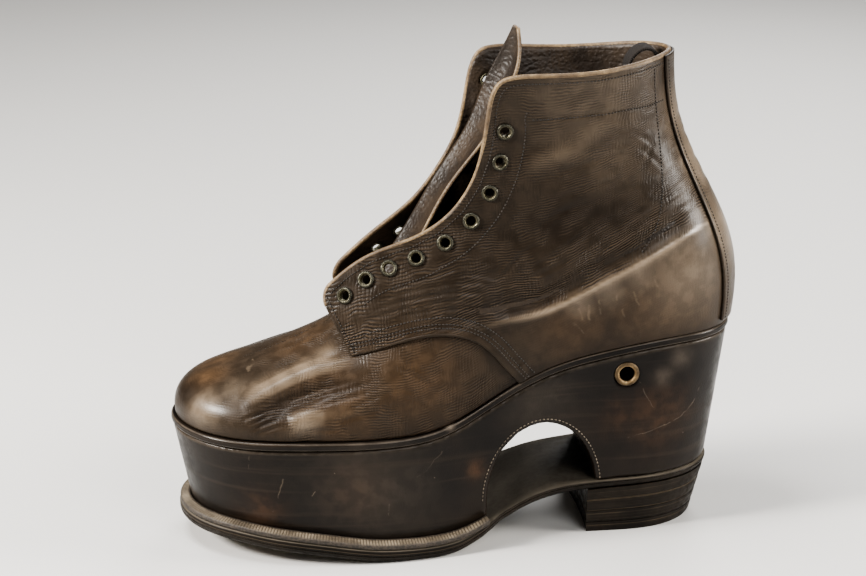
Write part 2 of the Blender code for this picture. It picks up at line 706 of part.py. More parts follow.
def heel_ring(share, lift):
    """Heel outline at a share of the heel's height, drawn in towards the tread."""
    start = np.interp(HEEL_BREAST, [row[0] for row in TREAD_PLAN], np.arange(len(TREAD_PLAN)))
    rows = np.linspace(start, LAST_ROW, HEEL_STEPS + 1)
    plan = np.vstack([(HEEL_BREAST + HEEL_HOLLOW, 0.0), tread_plan(-rows), tread_plan(rows[-2::-1])])
    drawn = np.array((1 - HEEL_TAPER_LONG * (1 - share), 1 - HEEL_TAPER_WIDE * (1 - share)))
    seat = sole_bottom_height(plan[:, 0])
    points = (plan - (HEEL_BREAST, 0.0)) * drawn + (HEEL_BREAST, 0.0)
    return with_height(points, seat * share + lift)


def make_heel(material):
    """Stacked leather lifts and a top piece that stands on the floor."""
    names = ("heel_lift_1", "heel_lift_2", "heel_lift_3", "heel_top_piece")
    for name, high, low in zip(names, HEEL_JOINTS, HEEL_JOINTS[1:]):
        stacked_rings(name, [heel_ring(high, -SEAT_GAP), heel_ring(low, 0.0)], material, flat=True)


def make_eyelets(material):
    """Metal eyelets with a rolled flange and a barrel through the quarters."""
    crest = EYELET_SEAT + EYELET_ROLL
    middle = (EYELET_BORE + EYELET_FLANGE) / 2
    profile = ((EYELET_BORE, EYELET_SEAT), (middle, crest), (EYELET_FLANGE, EYELET_SEAT),
               (EYELET_BARREL, EYELET_SEAT), (EYELET_BARREL, -EYELET_DEEP), (EYELET_BORE, -EYELET_DEEP))
    for name, seat, axis in eyelet_seats():
        swept_loop(name, turned(seat, axis, profile, EYELET_SIDES), material, wrap=True)


def main():
    for obj in list(bpy.data.objects):
        bpy.data.objects.remove(obj)
    upper_leather = plain_material("upper_leather", (0.045, 0.026, 0.016), 0.38)
    platform_leather = plain_material("platform_leather", (0.012, 0.009, 0.008), 0.32)
    sole_leather = plain_material("sole_leather", (0.022, 0.014, 0.010), 0.5)
    welt_leather = plain_material("welt_leather", (0.30, 0.22, 0.13), 0.6)
    tongue_leather = plain_material("tongue_leather", (0.11, 0.075, 0.045), 0.6)
    insole_leather = plain_material("insole_leather", (0.16, 0.10, 0.06), 0.7)
    webbing = plain_material("loop_webbing", (0.05, 0.045, 0.04), 0.85)
    eyelet_metal = plain_material("eyelet_metal", (0.10, 0.09, 0.07), 0.4, 1.0)
    socket_brass = plain_material("socket_brass", (0.30, 0.19, 0.09), 0.45, 1.0)
    make_upper(upper_leather)
    make_backstay(upper_leather)
    make_tongue(tongue_leather)
    make_pull_loop(webbing)
    make_insole(insole_leather)
    make_rand(platform_leather)
    make_platform(platform_leather)
    tube("socket_tube", SOCKET_OUTER, SOCKET_BORE, SOCKET_HALF_LONG, socket_brass)
    make_welt(welt_leather)
    make_outsole(sole_leather)
    make_heel(sole_leather)
    make_eyelets(eyelet_metal)


main()
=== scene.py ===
"""Finishes and fine forms of a worn orthopedic boot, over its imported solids."""
import math
import bmesh
import bpy
import numpy as np
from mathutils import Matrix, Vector
from mathutils.bvhtree import BVHTree


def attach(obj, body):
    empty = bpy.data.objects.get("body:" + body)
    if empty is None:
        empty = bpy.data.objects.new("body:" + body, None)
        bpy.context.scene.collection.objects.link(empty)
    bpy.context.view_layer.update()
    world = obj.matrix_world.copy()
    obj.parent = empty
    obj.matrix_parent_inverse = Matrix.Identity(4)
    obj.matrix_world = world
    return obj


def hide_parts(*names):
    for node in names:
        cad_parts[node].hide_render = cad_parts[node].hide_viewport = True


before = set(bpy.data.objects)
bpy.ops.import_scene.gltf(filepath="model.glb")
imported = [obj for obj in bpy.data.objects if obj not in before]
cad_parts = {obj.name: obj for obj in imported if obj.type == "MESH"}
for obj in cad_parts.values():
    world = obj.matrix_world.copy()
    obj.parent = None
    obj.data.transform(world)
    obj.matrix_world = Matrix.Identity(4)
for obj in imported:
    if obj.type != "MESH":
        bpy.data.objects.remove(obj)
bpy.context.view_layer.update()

# Vamp
# One dark brown calf skin over the toe and the ball of the foot, lasted down under the insole's edge.
# Its toe is worn bright, with a painted highlight over the wear, and wear has set long soft creases along its
# sides.

# Sizes are in millimetres, in the coordinates of these tables: the toe points along -x, the outer side is -y.
MM = 0.001
CENTRE = np.array((1.15, -1.75, 0.0))    # the whole boot's middle, which becomes the origin
WALL = 2.0
SEAT_GAP = 0.3
TUCK = 2.2                               # how far the vamp draws in under the quarters
TUCK_START = 0.01
TUCK_RUN = 0.08
TUCK_CORNER = 0.2
TUCK_CORNER_RUN = 0.5

# Plan of the feather edge, where upper and rand meet: x, outer side y, inner side y
FOOT_PLAN = (
    (-140.5, 3.0, 3.0),       # toe tip
    (-131.0, -22.0, 28.0),
    (-112.0, -37.5, 40.0),
    (-84.0, -45.0, 44.0),     # inner ball
    (-50.0, -48.0, 41.0),     # outer ball
    (-15.0, -45.0, 35.5),
    (20.0, -38.0, 31.0),      # waist
    (62.0, -33.0, 31.5),
    (104.0, -32.5, 32.5),
    (130.0, -21.5, 21.5),
    (140.5, 0.0, 0.0),        # heel tip
)
# Height of the feather edge: x, height
FEATHER_LINE = (
    (-142.0, 66.0), (-110.0, 66.0), (-60.0, 66.0), (-30.0, 66.3), (-10.0, 69.5), (8.0, 77.6),
    (28.0, 88.0), (49.0, 96.0), (70.0, 101.0), (100.0, 106.2), (142.0, 106.5),
)
# Ridge of the vamp from the toe up to the throat: x, y, height
VAMP_RIDGE = (
    (-110.0, 5.0, 91.5), (-92.0, 5.0, 97.5), (-76.0, 4.0, 104.5), (-60.0, 3.0, 113.0),
    (-45.0, 2.0, 124.5), (-30.0, 1.0, 139.0),
)
# Vamp ribs: foot-plan row, ridge x, rise and swell of the side, crown, reach up the rib
VAMP_RIBS = (
    (0.0, -110.0, 0.72, 2.5, 0.55, 1.00),
    (1.0, -109.0, 0.72, 2.5, 0.55, 1.00),
    (2.0, -103.0, 0.68, 3.0, 0.55, 1.00),
    (3.0, -85.0, 0.58, 3.5, 0.58, 1.00),
    (4.0, -60.0, 0.58, 3.0, 0.60, 1.00),
    (4.5, -50.0, 0.74, 2.5, 0.70, 1.00),
    (5.0, -43.0, 0.84, 2.0, 0.76, 0.58),
    (5.5, -37.0, 0.86, 1.5, 0.78, 0.45),
    (6.0, -32.0, 0.86, 1.0, 0.78, 0.24),
    (6.4, -30.0, 0.86, 1.0, 0.78, 0.06),
)
# Seam of the quarters over the vamp: foot-plan row, reach up the vamp's rib
SEAM = ((4.0, 0.58), (4.65, 0.47), (5.3, 0.35), (5.8, 0.20), (6.20, 0.0))
SEAM_START, SEAM_END = SEAM[0][0], SEAM[-1][0]
LAST_ROW = len(FOOT_PLAN) - 1
VAMP_COLUMNS = 421
VAMP_LEVELS = 81

# Creases and soft forms of the vamp: depth (a ridge is negative), width, then places along it as
# foot-plan row (outer side negative) and share of the rib
VAMP_CREASES = (
    (-1.7, 6.5, (-2.05, 0.38), (-2.48, 0.475), (-3.0, 0.562), (-3.5, 0.60), (-3.95, 0.575)),  # long ridge
    (2.1, 6.0, (-2.3, 0.20), (-2.7, 0.32), (-3.2, 0.40), (-3.7, 0.39), (-4.4, 0.33)),  # valley under it
    (-1.6, 5.0, (-2.9, 0.19), (-3.15, 0.21), (-3.45, 0.22)),  # little toe
    (0.7, 3.0, (-3.5, 0.64), (-3.75, 0.63), (-3.95, 0.63)),
    (0.6, 4.0, (-1.5, 0.75), (-2.2, 0.78), (-2.9, 0.80)),
    (0.60, 1.0, (-2.2, 0.15), (-2.45, 0.22), (-2.62, 0.28)),
    (0.60, 1.0, (-2.1, 0.20), (-2.4, 0.27), (-2.75, 0.35)),
    (0.55, 1.0, (-2.25, 0.10), (-2.5, 0.17), (-2.75, 0.22)),
    (0.45, 0.9, (-2.35, 0.07), (-2.6, 0.12), (-2.85, 0.16)),
    (0.50, 1.1, (-2.7, 0.36), (-3.3, 0.43), (-4.0, 0.40)),
    (0.35, 1.1, (-2.9, 0.31), (-3.5, 0.38), (-4.3, 0.34)),
    (0.30, 1.0, (-3.2, 0.28), (-3.8, 0.31), (-4.5, 0.27)),
    (0.30, 1.0, (-3.6, 0.22), (-4.2, 0.25), (-4.9, 0.20)),
    (0.25, 1.0, (-3.5, 0.15), (-4.1, 0.17), (-4.8, 0.13)),
    (0.30, 1.0, (-2.9, 0.12), (-3.4, 0.10), (-3.9, 0.08)),
    (0.30, 1.1, (-4.3, 0.40), (-4.7, 0.33), (-5.2, 0.24)),
    (0.25, 0.9, (-4.5, 0.20), (-4.9, 0.16), (-5.3, 0.10)),
    (0.30, 0.8, (-4.03, 0.32), (-4.05, 0.24), (-4.03, 0.15)),
    (0.20, 0.8, (-3.6, 0.40), (-3.62, 0.33), (-3.6, 0.26)),
    (0.25, 0.8, (-4.4, 0.30), (-4.42, 0.22), (-4.4, 0.14)),
    (1.0, 5.0, (2.2, 0.20), (3.0, 0.38), (4.0, 0.38)),  # valley of the inner side
    (-0.8, 5.0, (2.2, 0.42), (3.0, 0.52), (3.8, 0.52)),
    (0.35, 1.2, (2.6, 0.33), (3.2, 0.40), (3.9, 0.36)),
    (0.30, 1.1, (2.9, 0.26), (3.5, 0.30), (4.2, 0.27)),
    (0.30, 1.0, (3.2, 0.18), (3.8, 0.20), (4.5, 0.16)),
    (0.30, 1.0, (2.3, 0.12), (2.6, 0.20), (2.9, 0.27)),
    (0.25, 0.8, (3.9, 0.30), (3.95, 0.20), (3.9, 0.12)),
)
# Patches of the upper: kind, x, y, z, radius, strength
UPPER_PATCHES = (
    ("warm", -125.0, -4.0, 87.0, 10.0, 0.85),      # toe, worn to the russet
    ("warm", -118.0, 14.0, 88.0, 12.0, 0.45),
    ("warm", -76.0, -3.0, 104.0, 16.0, 0.40),
    ("warm", -62.0, -44.0, 82.0, 30.0, 0.35),
    ("warm", -22.0, -43.0, 94.0, 24.0, 0.45),
    ("warm", 55.0, -36.0, 118.0, 18.0, 0.35),
    ("warm", 92.0, -37.0, 125.0, 24.0, 0.30),
    # rubbed patches: pale real wear with a painted highlight and sheen over it, on the toe, along the vamp's
    # long ridge, along the counter's edge, on the backstay and up the collar
    ("rubbed", -129.0, -24.0, 79.0, 9.0, 0.75),
    ("rubbed", -112.0, -24.0, 88.0, 7.0, 0.35),
    ("rubbed", -99.0, -28.0, 91.0, 6.0, 0.5),      # along the long ridge
    ("rubbed", -89.0, -26.5, 95.0, 6.0, 0.55),
    ("rubbed", -78.0, -25.0, 99.0, 6.0, 0.55),
    ("rubbed", -67.0, -24.0, 103.0, 6.0, 0.5),
    ("rubbed", -79.0, -45.0, 75.0, 6.0, 0.55),
    ("rubbed", 58.0, -37.0, 129.0, 7.0, 0.45),     # along the counter's edge to the backstay
    ("rubbed", 72.0, -38.0, 136.0, 8.0, 0.45),
    ("rubbed", 88.0, -38.0, 143.0, 10.0, 0.45),
    ("rubbed", 110.0, -32.0, 142.0, 20.0, 0.50),
    ("rubbed", 131.0, -12.0, 158.0, 18.0, 0.85),
    ("rubbed", 122.0, -12.0, 192.0, 15.0, 0.90),
    ("rubbed", 114.0, -12.0, 214.0, 14.0, 0.65),
    ("rubbed", 62.0, -35.0, 232.0, 28.0, 0.25),
    ("rubbed", 74.0, -33.0, 200.0, 18.0, 0.18),
    ("grime", -135.0, -8.0, 82.0, 10.0, 1.0),
    ("grime", -95.0, -41.0, 76.0, 12.0, 0.5),
    ("grime", -40.0, -32.0, 128.0, 20.0, 0.5),
    ("grime", 5.0, -34.0, 150.0, 34.0, 0.55),
    ("grime", 50.0, -36.0, 168.0, 34.0, 0.60),
    ("grime", 26.0, -32.0, 205.0, 24.0, 0.35),
    ("grime", 138.0, 4.0, 166.0, 13.0, 0.55),
)


def curve_through(places, rows):
    """Natural cubic curve through the rows, as a function of place."""
    places = np.asarray(places, float)
    rows = np.asarray(rows, float).reshape(len(places), -1)
    gaps = np.diff(places)[:, None]
    slopes = np.diff(rows, axis=0) / gaps
    count = len(places)
    matrix = np.eye(count)
    bends = np.zeros_like(rows)
    for i in range(1, count - 1):
        matrix[i, i - 1:i + 2] = gaps[i - 1, 0], 2 * (gaps[i - 1, 0] + gaps[i, 0]), gaps[i, 0]
        bends[i] = 3 * (slopes[i] - slopes[i - 1])
    bends = np.linalg.solve(matrix, bends)

    def at(place):
        place = np.atleast_1d(np.asarray(place, float))
        i = np.clip(np.searchsorted(places, place, side="right") - 1, 0, count - 2)
        step = (place - places[i])[:, None]
        gap = gaps[i]
        rise = slopes[i] - gap * (2 * bends[i] + bends[i + 1]) / 3
        return rows[i] + step * (rise + step * (bends[i] + step * (bends[i + 1] - bends[i]) / (3 * gap)))
    return at


def curve_of(table):
    """Natural cubic curve through a table's rows, as a function of its first column."""
    return curve_through([row[0] for row in table], [row[1:] for row in table])


def run_lengths(points):
    """Distance of each point from the first, along them all."""
    return np.r_[0.0, np.cumsum(np.linalg.norm(np.diff(points, axis=0), axis=1))]


def plan_curve(plan):
    """Closed outline of a plan, as a function of signed plan row: outer side negative, inner positive."""
    outer = [(x, y_out) for x, y_out, _ in plan]
    inner = [(x, y_in) for x, _, y_in in plan]
    loop = np.array(outer + inner[-2:0:-1])
    wrap = 4
    loop = np.vstack([loop[-wrap:], loop, loop[:wrap + 1]])
    lengths = run_lengths(loop)
    curve = curve_through(lengths, loop)
    rows = np.arange(len(loop)) - wrap
    turn = 2 * (len(plan) - 1)

    def at(signed_row):
        row = np.mod(-np.atleast_1d(np.asarray(signed_row, float)), turn)
        return curve(np.interp(row, rows, lengths))
    return at


def unit(vectors):
    """Vectors of length one along the same directions."""
    return vectors / np.linalg.norm(vectors, axis=-1, keepdims=True)


def outward(plan, signed_row):
    """Unit normals of an outline in plan, pointing away from the boot."""
    step = 0.02
    along = unit(plan(np.asarray(signed_row) + step) - plan(np.asarray(signed_row) - step))
    return np.stack([-along[:, 1], along[:, 0]], axis=1)


def with_height(plan_points, heights):
    """Plan points lifted to their heights."""
    return np.column_stack([plan_points, np.broadcast_to(heights, len(plan_points))])


def ease(value, start=0.0, run=1.0):
    """Smooth step from 0 to 1 that begins at a start and takes a run."""
    share = np.clip((value - start) / run, 0.0, 1.0)
    return share * share * (3 - 2 * share)


def bell(value, middle, width):
    """Soft bump of height one round a middle."""
    return np.exp(-((value - middle) / width) ** 2)


foot_plan = plan_curve(FOOT_PLAN)
feather_curve = curve_of(FEATHER_LINE)
vamp_rib = curve_of(VAMP_RIBS)
vamp_ridge = curve_of(VAMP_RIDGE)
seam_curve = curve_of(SEAM)


def feather_height(x):
    """Height of the feather edge along the boot."""
    return feather_curve(x)[:, 0]


def feather_point(signed_row):
    """Lower edge of the upper, just above the rand."""
    plan = foot_plan(signed_row)
    return with_height(plan, feather_height(plan[:, 0]) + 2 * SEAT_GAP)


def seam_reach(signed_row):
    """How far up the vamp's rib the quarters' lower edge lies."""
    row = np.clip(np.abs(signed_row), SEAM_START, SEAM_END)
    return np.maximum(seam_curve(row)[:, 0], 0.0)


def vamp_reach(signed_row):
    """How far up its rib the vamp goes before it ends under the quarters."""
    return np.interp(np.abs(signed_row), [row[0] for row in VAMP_RIBS], [row[5] for row in VAMP_RIBS])


def vamp_point(signed_row, reach):
    """Point on the vamp: a rib rises from the feather edge, swells, and lies over to the ridge."""
    signed_row, reach = np.broadcast_arrays(np.atleast_1d(signed_row).astype(float), reach)
    ridge_x, rise, swell, crown, _ = vamp_rib(np.abs(signed_row)).T
    foot = feather_point(signed_row)
    top = np.column_stack([ridge_x, vamp_ridge(ridge_x)])
    slope = (vamp_ridge(ridge_x + 1)[:, 1] - vamp_ridge(ridge_x - 1)[:, 1]) / 2
    away = foot - top
    away[:, 2] = 0.0
    side = foot + unit(away) * swell[:, None]
    side[:, 2] += rise * (top[:, 2] - foot[:, 2])
    over = top + away * crown[:, None]
    over[:, 2] += slope * (over[:, 0] - top[:, 0])
    t = reach[:, None]
    point = (1 - t) ** 3 * foot + 3 * (1 - t) ** 2 * t * side + 3 * (1 - t) * t ** 2 * over + t ** 3 * top
    past_seam = ease(reach - seam_reach(signed_row), TUCK_START, TUCK_RUN)
    behind_front = ease(np.abs(signed_row), SEAM_START + TUCK_CORNER, TUCK_CORNER_RUN)
    point[:, :2] -= outward(foot_plan, signed_row) * (TUCK * past_seam * behind_front)[:, None]
    return point


def grid_faces(columns, rows, wrap=False, closed=False):
    """Quads of a grid of points held column by column, which may close on itself either way."""
    faces = []
    for i in range(columns if wrap else columns - 1):
        here, there = i * rows, (i + 1) % columns * rows
        for j in range(rows if closed else rows - 1):
            up = (j + 1) % rows
            faces.append((here + j, there + j, there + up, here + up))
    return faces


def mark(mesh, name, values):
    """Number for each point of a mesh, which the materials read by name."""
    layer = mesh.attributes.new(name, "FLOAT", "POINT")
    layer.data.foreach_set("value", np.asarray(values, np.float32).ravel())


def new_object(name, data):
    """Object at the origin, put in the scene."""
    obj = bpy.data.objects.new(name, data)
    bpy.context.scene.collection.objects.link(obj)
    return obj


def make_piece(name, points, faces, *materials, closed=False, marks=()):
    """Smooth mesh object at the origin from points in millimetres; a closed one is made to face outwards."""
    mesh = bpy.data.meshes.new(name)
    mesh.from_pydata((np.asarray(points, float).reshape(-1, 3) - CENTRE) * MM, [], faces)
    for label, values in dict(marks).items():
        mark(mesh, label, values)
    shape = bmesh.new()
    shape.from_mesh(mesh)
    bmesh.ops.remove_doubles(shape, verts=shape.verts, dist=2e-6)
    bmesh.ops.delete(shape, geom=[vert for vert in shape.verts if not vert.link_faces], context="VERTS")
    if closed:
        bmesh.ops.recalc_face_normals(shape, faces=shape.faces)
    shape.to_mesh(mesh)
    shape.free()
    mesh.shade_smooth()
    for material in materials:
        mesh.materials.append(material)
    return new_object(name, mesh)


def points_of(obj):
    """Points of a piece in the tables' millimetres."""
    points = np.empty(len(obj.data.vertices) * 3)
    obj.data.vertices.foreach_get("co", points)
    return points.reshape(-1, 3) / MM + CENTRE


def trough(gap):
    """Section of a crease over the distance from its middle, in widths: a groove between two low banks."""
    return 0.4 * bell(gap, 1.9, 1.0) - bell(gap, 0.0, 1.0)


def crease_relief(points, creases, spot, samples=90):
    """Height of listed creases at each point: troughs that fade at their ends."""
    relief = np.zeros(len(points))
    share = np.linspace(0.0, 1.0, samples)
    fade = np.sin(math.pi * share) ** 0.8
    for depth, width, *places in creases:
        course = curve_through(np.linspace(0.0, 1.0, len(places)), places)(share)
        path = spot(course[:, 0], course[:, 1])
        low, high = path.min(axis=0) - 4 * width, path.max(axis=0) + 4 * width
        near = np.all((points > low) & (points < high), axis=1)
        gaps = np.linalg.norm(points[near][:, None, :] - path[None], axis=2)
        closest = gaps.argmin(axis=1)
        gap = gaps[np.arange(len(closest)), closest] / width
        relief[near] += depth * fade[closest] * trough(gap)
    return relief


def patch_marks(points, patches):
    """Strength of the soft round patches of each kind at each point."""
    marks = {kind: np.zeros(len(points)) for kind in ("warm", "rubbed", "grime")}
    for kind, *place, radius, strength in patches:
        gap = np.linalg.norm(points - place, axis=1)
        marks[kind] = np.maximum(marks[kind], strength * bell(gap, 0.0, radius))
    return marks


def hide_marks(points, relief, flex, flow):
    """What the upper's leather reads at each point: relief, flex, the run of its creases, and patches."""
    marks = {"relief": relief, "flex": flex, "flow": flow * MM, **patch_marks(points, UPPER_PATCHES)}
    over_rand = points[:, 2] - feather_height(points[:, 0])
    marks["grime"] = np.maximum(marks["grime"], 0.55 * bell(over_rand, 0.0, 5.0))
    return marks


def grid_normals(grid):
    """Unit normals of a grid of points."""
    normals = np.cross(np.gradient(grid, axis=0), np.gradient(grid, axis=1))
    return normals / np.maximum(np.linalg.norm(normals, axis=2), 1e-6)[:, :, None]


def on_vamp(row, share):
    """Places on the vamp from foot-plan rows and shares of the rib."""
    return vamp_point(row, share * vamp_reach(row))


def feed(tree, node, values):
    """Sets a node's inputs, or links them where a socket is given."""
    for key, value in values.items():
        if isinstance(value, bpy.types.NodeSocket):
            tree.links.new(value, node.inputs[key])
        else:
            node.inputs[key].default_value = value


def add(tree, kind, values=(), **settings):
    """Node with its properties and inputs set."""
    made = tree.nodes.new(kind)
    for key, value in settings.items():
        setattr(made, key, value)
    feed(tree, made, dict(values))
    return made


def new_group(name, inputs, outputs):
    """Shader node group: named inputs with their usual numbers, None for a vector, and named outputs."""
    tree = bpy.data.node_groups.new(name, "ShaderNodeTree")
    for label, value in inputs.items():
        kind = "NodeSocketVector" if value is None else "NodeSocketFloat"
        socket = tree.interface.new_socket(label, in_out="INPUT", socket_type=kind)
        if value is not None:
            socket.default_value = value
    for label in outputs:
        tree.interface.new_socket(label, in_out="OUTPUT", socket_type="NodeSocketFloat")
    return tree, tree.nodes.new("NodeGroupInput").outputs, tree.nodes.new("NodeGroupOutput")


def maths(tree, operation, first, second=0.0, third=0.0, clamp=False):
    """Socket of one sum."""
    made = add(tree, "ShaderNodeMath", {0: first, 1: second, 2: third}, operation=operation, use_clamp=clamp)
    return made.outputs[0]


def times(tree, first, second, plus=None, clamp=False):
    """Socket of a product, with a number added to it where one is given."""
    if plus is None:
        return maths(tree, "MULTIPLY", first, second, clamp=clamp)
    return maths(tree, "MULTIPLY_ADD", first, second, plus, clamp)


def vector_maths(tree, operation, first, second, third=(0.0, 0.0, 0.0)):
    """Socket of one sum of vectors."""
    slot = 3 if operation == "SCALE" else 1
    made = add(tree, "ShaderNodeVectorMath", {0: first, slot: second, 2: third}, operation=operation)
    return made.outputs["Value" if operation in ("DOT_PRODUCT", "DISTANCE") else "Vector"]


def joined(tree, x, y, z):
    """Socket of a vector made of three numbers."""
    return add(tree, "ShaderNodeCombineXYZ", {"X": x, "Y": y, "Z": z}).outputs["Vector"]


def noise(tree, place, scale, detail, roughness=0.5):
    """Sockets of a soft noise."""
    values = {"Vector": place, "Scale": scale, "Detail": detail, "Roughness": roughness}
    return add(tree, "ShaderNodeTexNoise", values).outputs


def blend(tree, share, first, second):
    """Socket of one colour laid over another."""
    return add(tree, "ShaderNodeMix", {0: share, 6: first, 7: second}, data_type="RGBA").outputs[2]


def smooth_range(tree, value, low, high, to_low=0.0, to_high=1.0):
    """Socket of a value eased from one range to another."""
    values = {0: value, 1: low, 2: high, 3: to_low, 4: to_high}
    return add(tree, "ShaderNodeMapRange", values, interpolation_type="SMOOTHSTEP").outputs[0]


def hide_grain_group():
    """Pebbled grain of leather: small rounded cells with grooves between them."""
    tree, given, out = new_group("hide_grain", {"Vector": None, "Cells": 900.0}, ("Height",))
    warp = noise(tree, given["Vector"], 300.0, 2.0)["Color"]
    moved = vector_maths(tree, "ADD", given["Vector"], vector_maths(tree, "SCALE", warp, 0.0012))
    cells = add(tree, "ShaderNodeTexVoronoi", {"Vector": moved, "Scale": given["Cells"]}, feature="SMOOTH_F1")
    feed(tree, out, {"Height": smooth_range(tree, cells.outputs["Distance"], 0.65, 0.1)})
    return tree


def fine_crease_group():
    """Fine flowing creases: rounded ridges side by side along z, with narrow grooves that come and go."""
    tree, given, out = new_group("fine_creases", {"Vector": None, "Pitch": 0.0018}, ("Groove", "Crest"))
    place = given["Vector"]
    level = add(tree, "ShaderNodeSeparateXYZ", {0: place}).outputs["Z"]
    turns = maths(tree, "DIVIDE", level, given["Pitch"])
    turns = times(tree, noise(tree, place, 45.0, 1.0)["Fac"], 4.5, turns)
    turns = times(tree, noise(tree, place, 230.0, 1.0)["Fac"], 1.1, turns)
    ridge = maths(tree, "ABSOLUTE", maths(tree, "SINE", times(tree, turns, math.pi)))
    shown = smooth_range(tree, noise(tree, place, 95.0, 2.0)["Fac"], 0.38, 0.64)
    feed(tree, out, {"Groove": times(tree, maths(tree, "SUBTRACT", 1.0, ridge), shown),
                     "Crest": times(tree, maths(tree, "POWER", ridge, 5.0), shown)})
    return tree


def mottle_group():
    """Uneven dye and polish: broad soft blotches with finer ones over them."""
    tree, given, out = new_group("mottle", {"Vector": None, "Scale": 30.0}, ("Mask", "Fine"))
    broad = noise(tree, given["Vector"], given["Scale"], 5.0, 0.6)["Fac"]
    fine = noise(tree, given["Vector"], times(tree, given["Scale"], 9.0), 3.0)["Fac"]
    feed(tree, out, {"Mask": smooth_range(tree, broad, 0.36, 0.66),
                     "Fine": smooth_range(tree, fine, 0.40, 0.64)})
    return tree


def scratch_group():
    """One thin scratch between two points."""
    tree, given, out = new_group("scratch", {"Vector": None, "From": None, "To": None, "Width": 0.0004},
                                 ("Mask",))
    run = vector_maths(tree, "SUBTRACT", given["To"], given["From"])
    off = vector_maths(tree, "SUBTRACT", given["Vector"], given["From"])
    share = maths(tree, "DIVIDE", vector_maths(tree, "DOT_PRODUCT", off, run),
                  vector_maths(tree, "DOT_PRODUCT", run, run), clamp=True)
    gap = vector_maths(tree, "DISTANCE", off, vector_maths(tree, "SCALE", run, share))
    feed(tree, out, {"Mask": smooth_range(tree, gap, 0.0, given["Width"], 1.0, 0.0)})
    return tree


hide_grain = hide_grain_group()
fine_creases = fine_crease_group()
mottle = mottle_group()
scratch = scratch_group()


def new_material(name, roughness, metallic=0.0, coat=0.0, coat_roughness=0.2, specular=0.5):
    """Material with its plain values set; returns it, its tree, its shader and object coordinates."""
    material = bpy.data.materials.new(name)
    material.use_nodes = True
    tree = material.node_tree
    shader = tree.nodes["Principled BSDF"]
    feed(tree, shader, {"Roughness": roughness, "Metallic": metallic, "Coat Weight": coat,
                        "Coat Roughness": coat_roughness, "Specular IOR Level": specular})
    return material, tree, shader, tree.nodes.new("ShaderNodeTexCoord").outputs["Object"]


def use(tree, group, **values):
    """Sockets of a shared effect placed in a material."""
    return add(tree, "ShaderNodeGroup", values, node_tree=group).outputs


def read_mark(tree, name):
    """Socket of a number that a piece carries for each point."""
    return add(tree, "ShaderNodeAttribute", attribute_name=name, attribute_type="GEOMETRY").outputs["Fac"]


def bumped(tree, shader, height, strength, distance):
    """Bump from a height in shares of a distance in metres."""
    made = add(tree, "ShaderNodeBump", {"Height": height, "Strength": strength, "Distance": distance})
    feed(tree, shader, {"Normal": made.outputs["Normal"]})


def add_scratches(tree, place, colour, lines, pale, width):
    """Lays thin pale scratches of the outer side, from and to as x and height, over a colour."""
    cloud = noise(tree, place, 190.0, 2.0)
    waver = vector_maths(tree, "SUBTRACT", cloud["Color"], (0.5, 0.5, 0.5))
    moved = vector_maths(tree, "MULTIPLY_ADD", waver, (0.0030, 0.0030, 0.0030), place)
    flat = vector_maths(tree, "MULTIPLY", moved, (1.0, 0.0, 1.0))
    outer = maths(tree, "LESS_THAN", add(tree, "ShaderNodeSeparateXYZ", {0: place}).outputs["Y"], 0.0)
    marked = times(tree, outer, smooth_range(tree, cloud["Fac"], 0.38, 0.55))
    for *ends, strength in lines:
        start, end = [((x - CENTRE[0]) * MM, 0.0, z * MM) for x, z in (ends[:2], ends[2:])]
        line = use(tree, scratch, Vector=flat, From=start, To=end, Width=width)
        colour = blend(tree, times(tree, times(tree, line["Mask"], strength), marked), colour, pale)
    return colour


# Scuffs of counter and toe: from x and height, to x and height, strength
UPPER_SCRATCHES = (
    (57.0, 126.0, 59.5, 120.0, 0.16), (62.0, 128.0, 63.0, 118.0, 0.26), (67.0, 130.0, 68.0, 123.0, 0.20),
    (54.0, 119.0, 60.0, 113.0, 0.15), (75.0, 134.5, 76.0, 130.0, 0.20), (84.0, 134.0, 87.0, 127.0, 0.16),
    (94.0, 141.0, 97.0, 134.0, 0.20), (79.0, 125.0, 80.0, 121.0, 0.15), (-104.0, 92.0, -101.0, 94.0, 0.25),
)


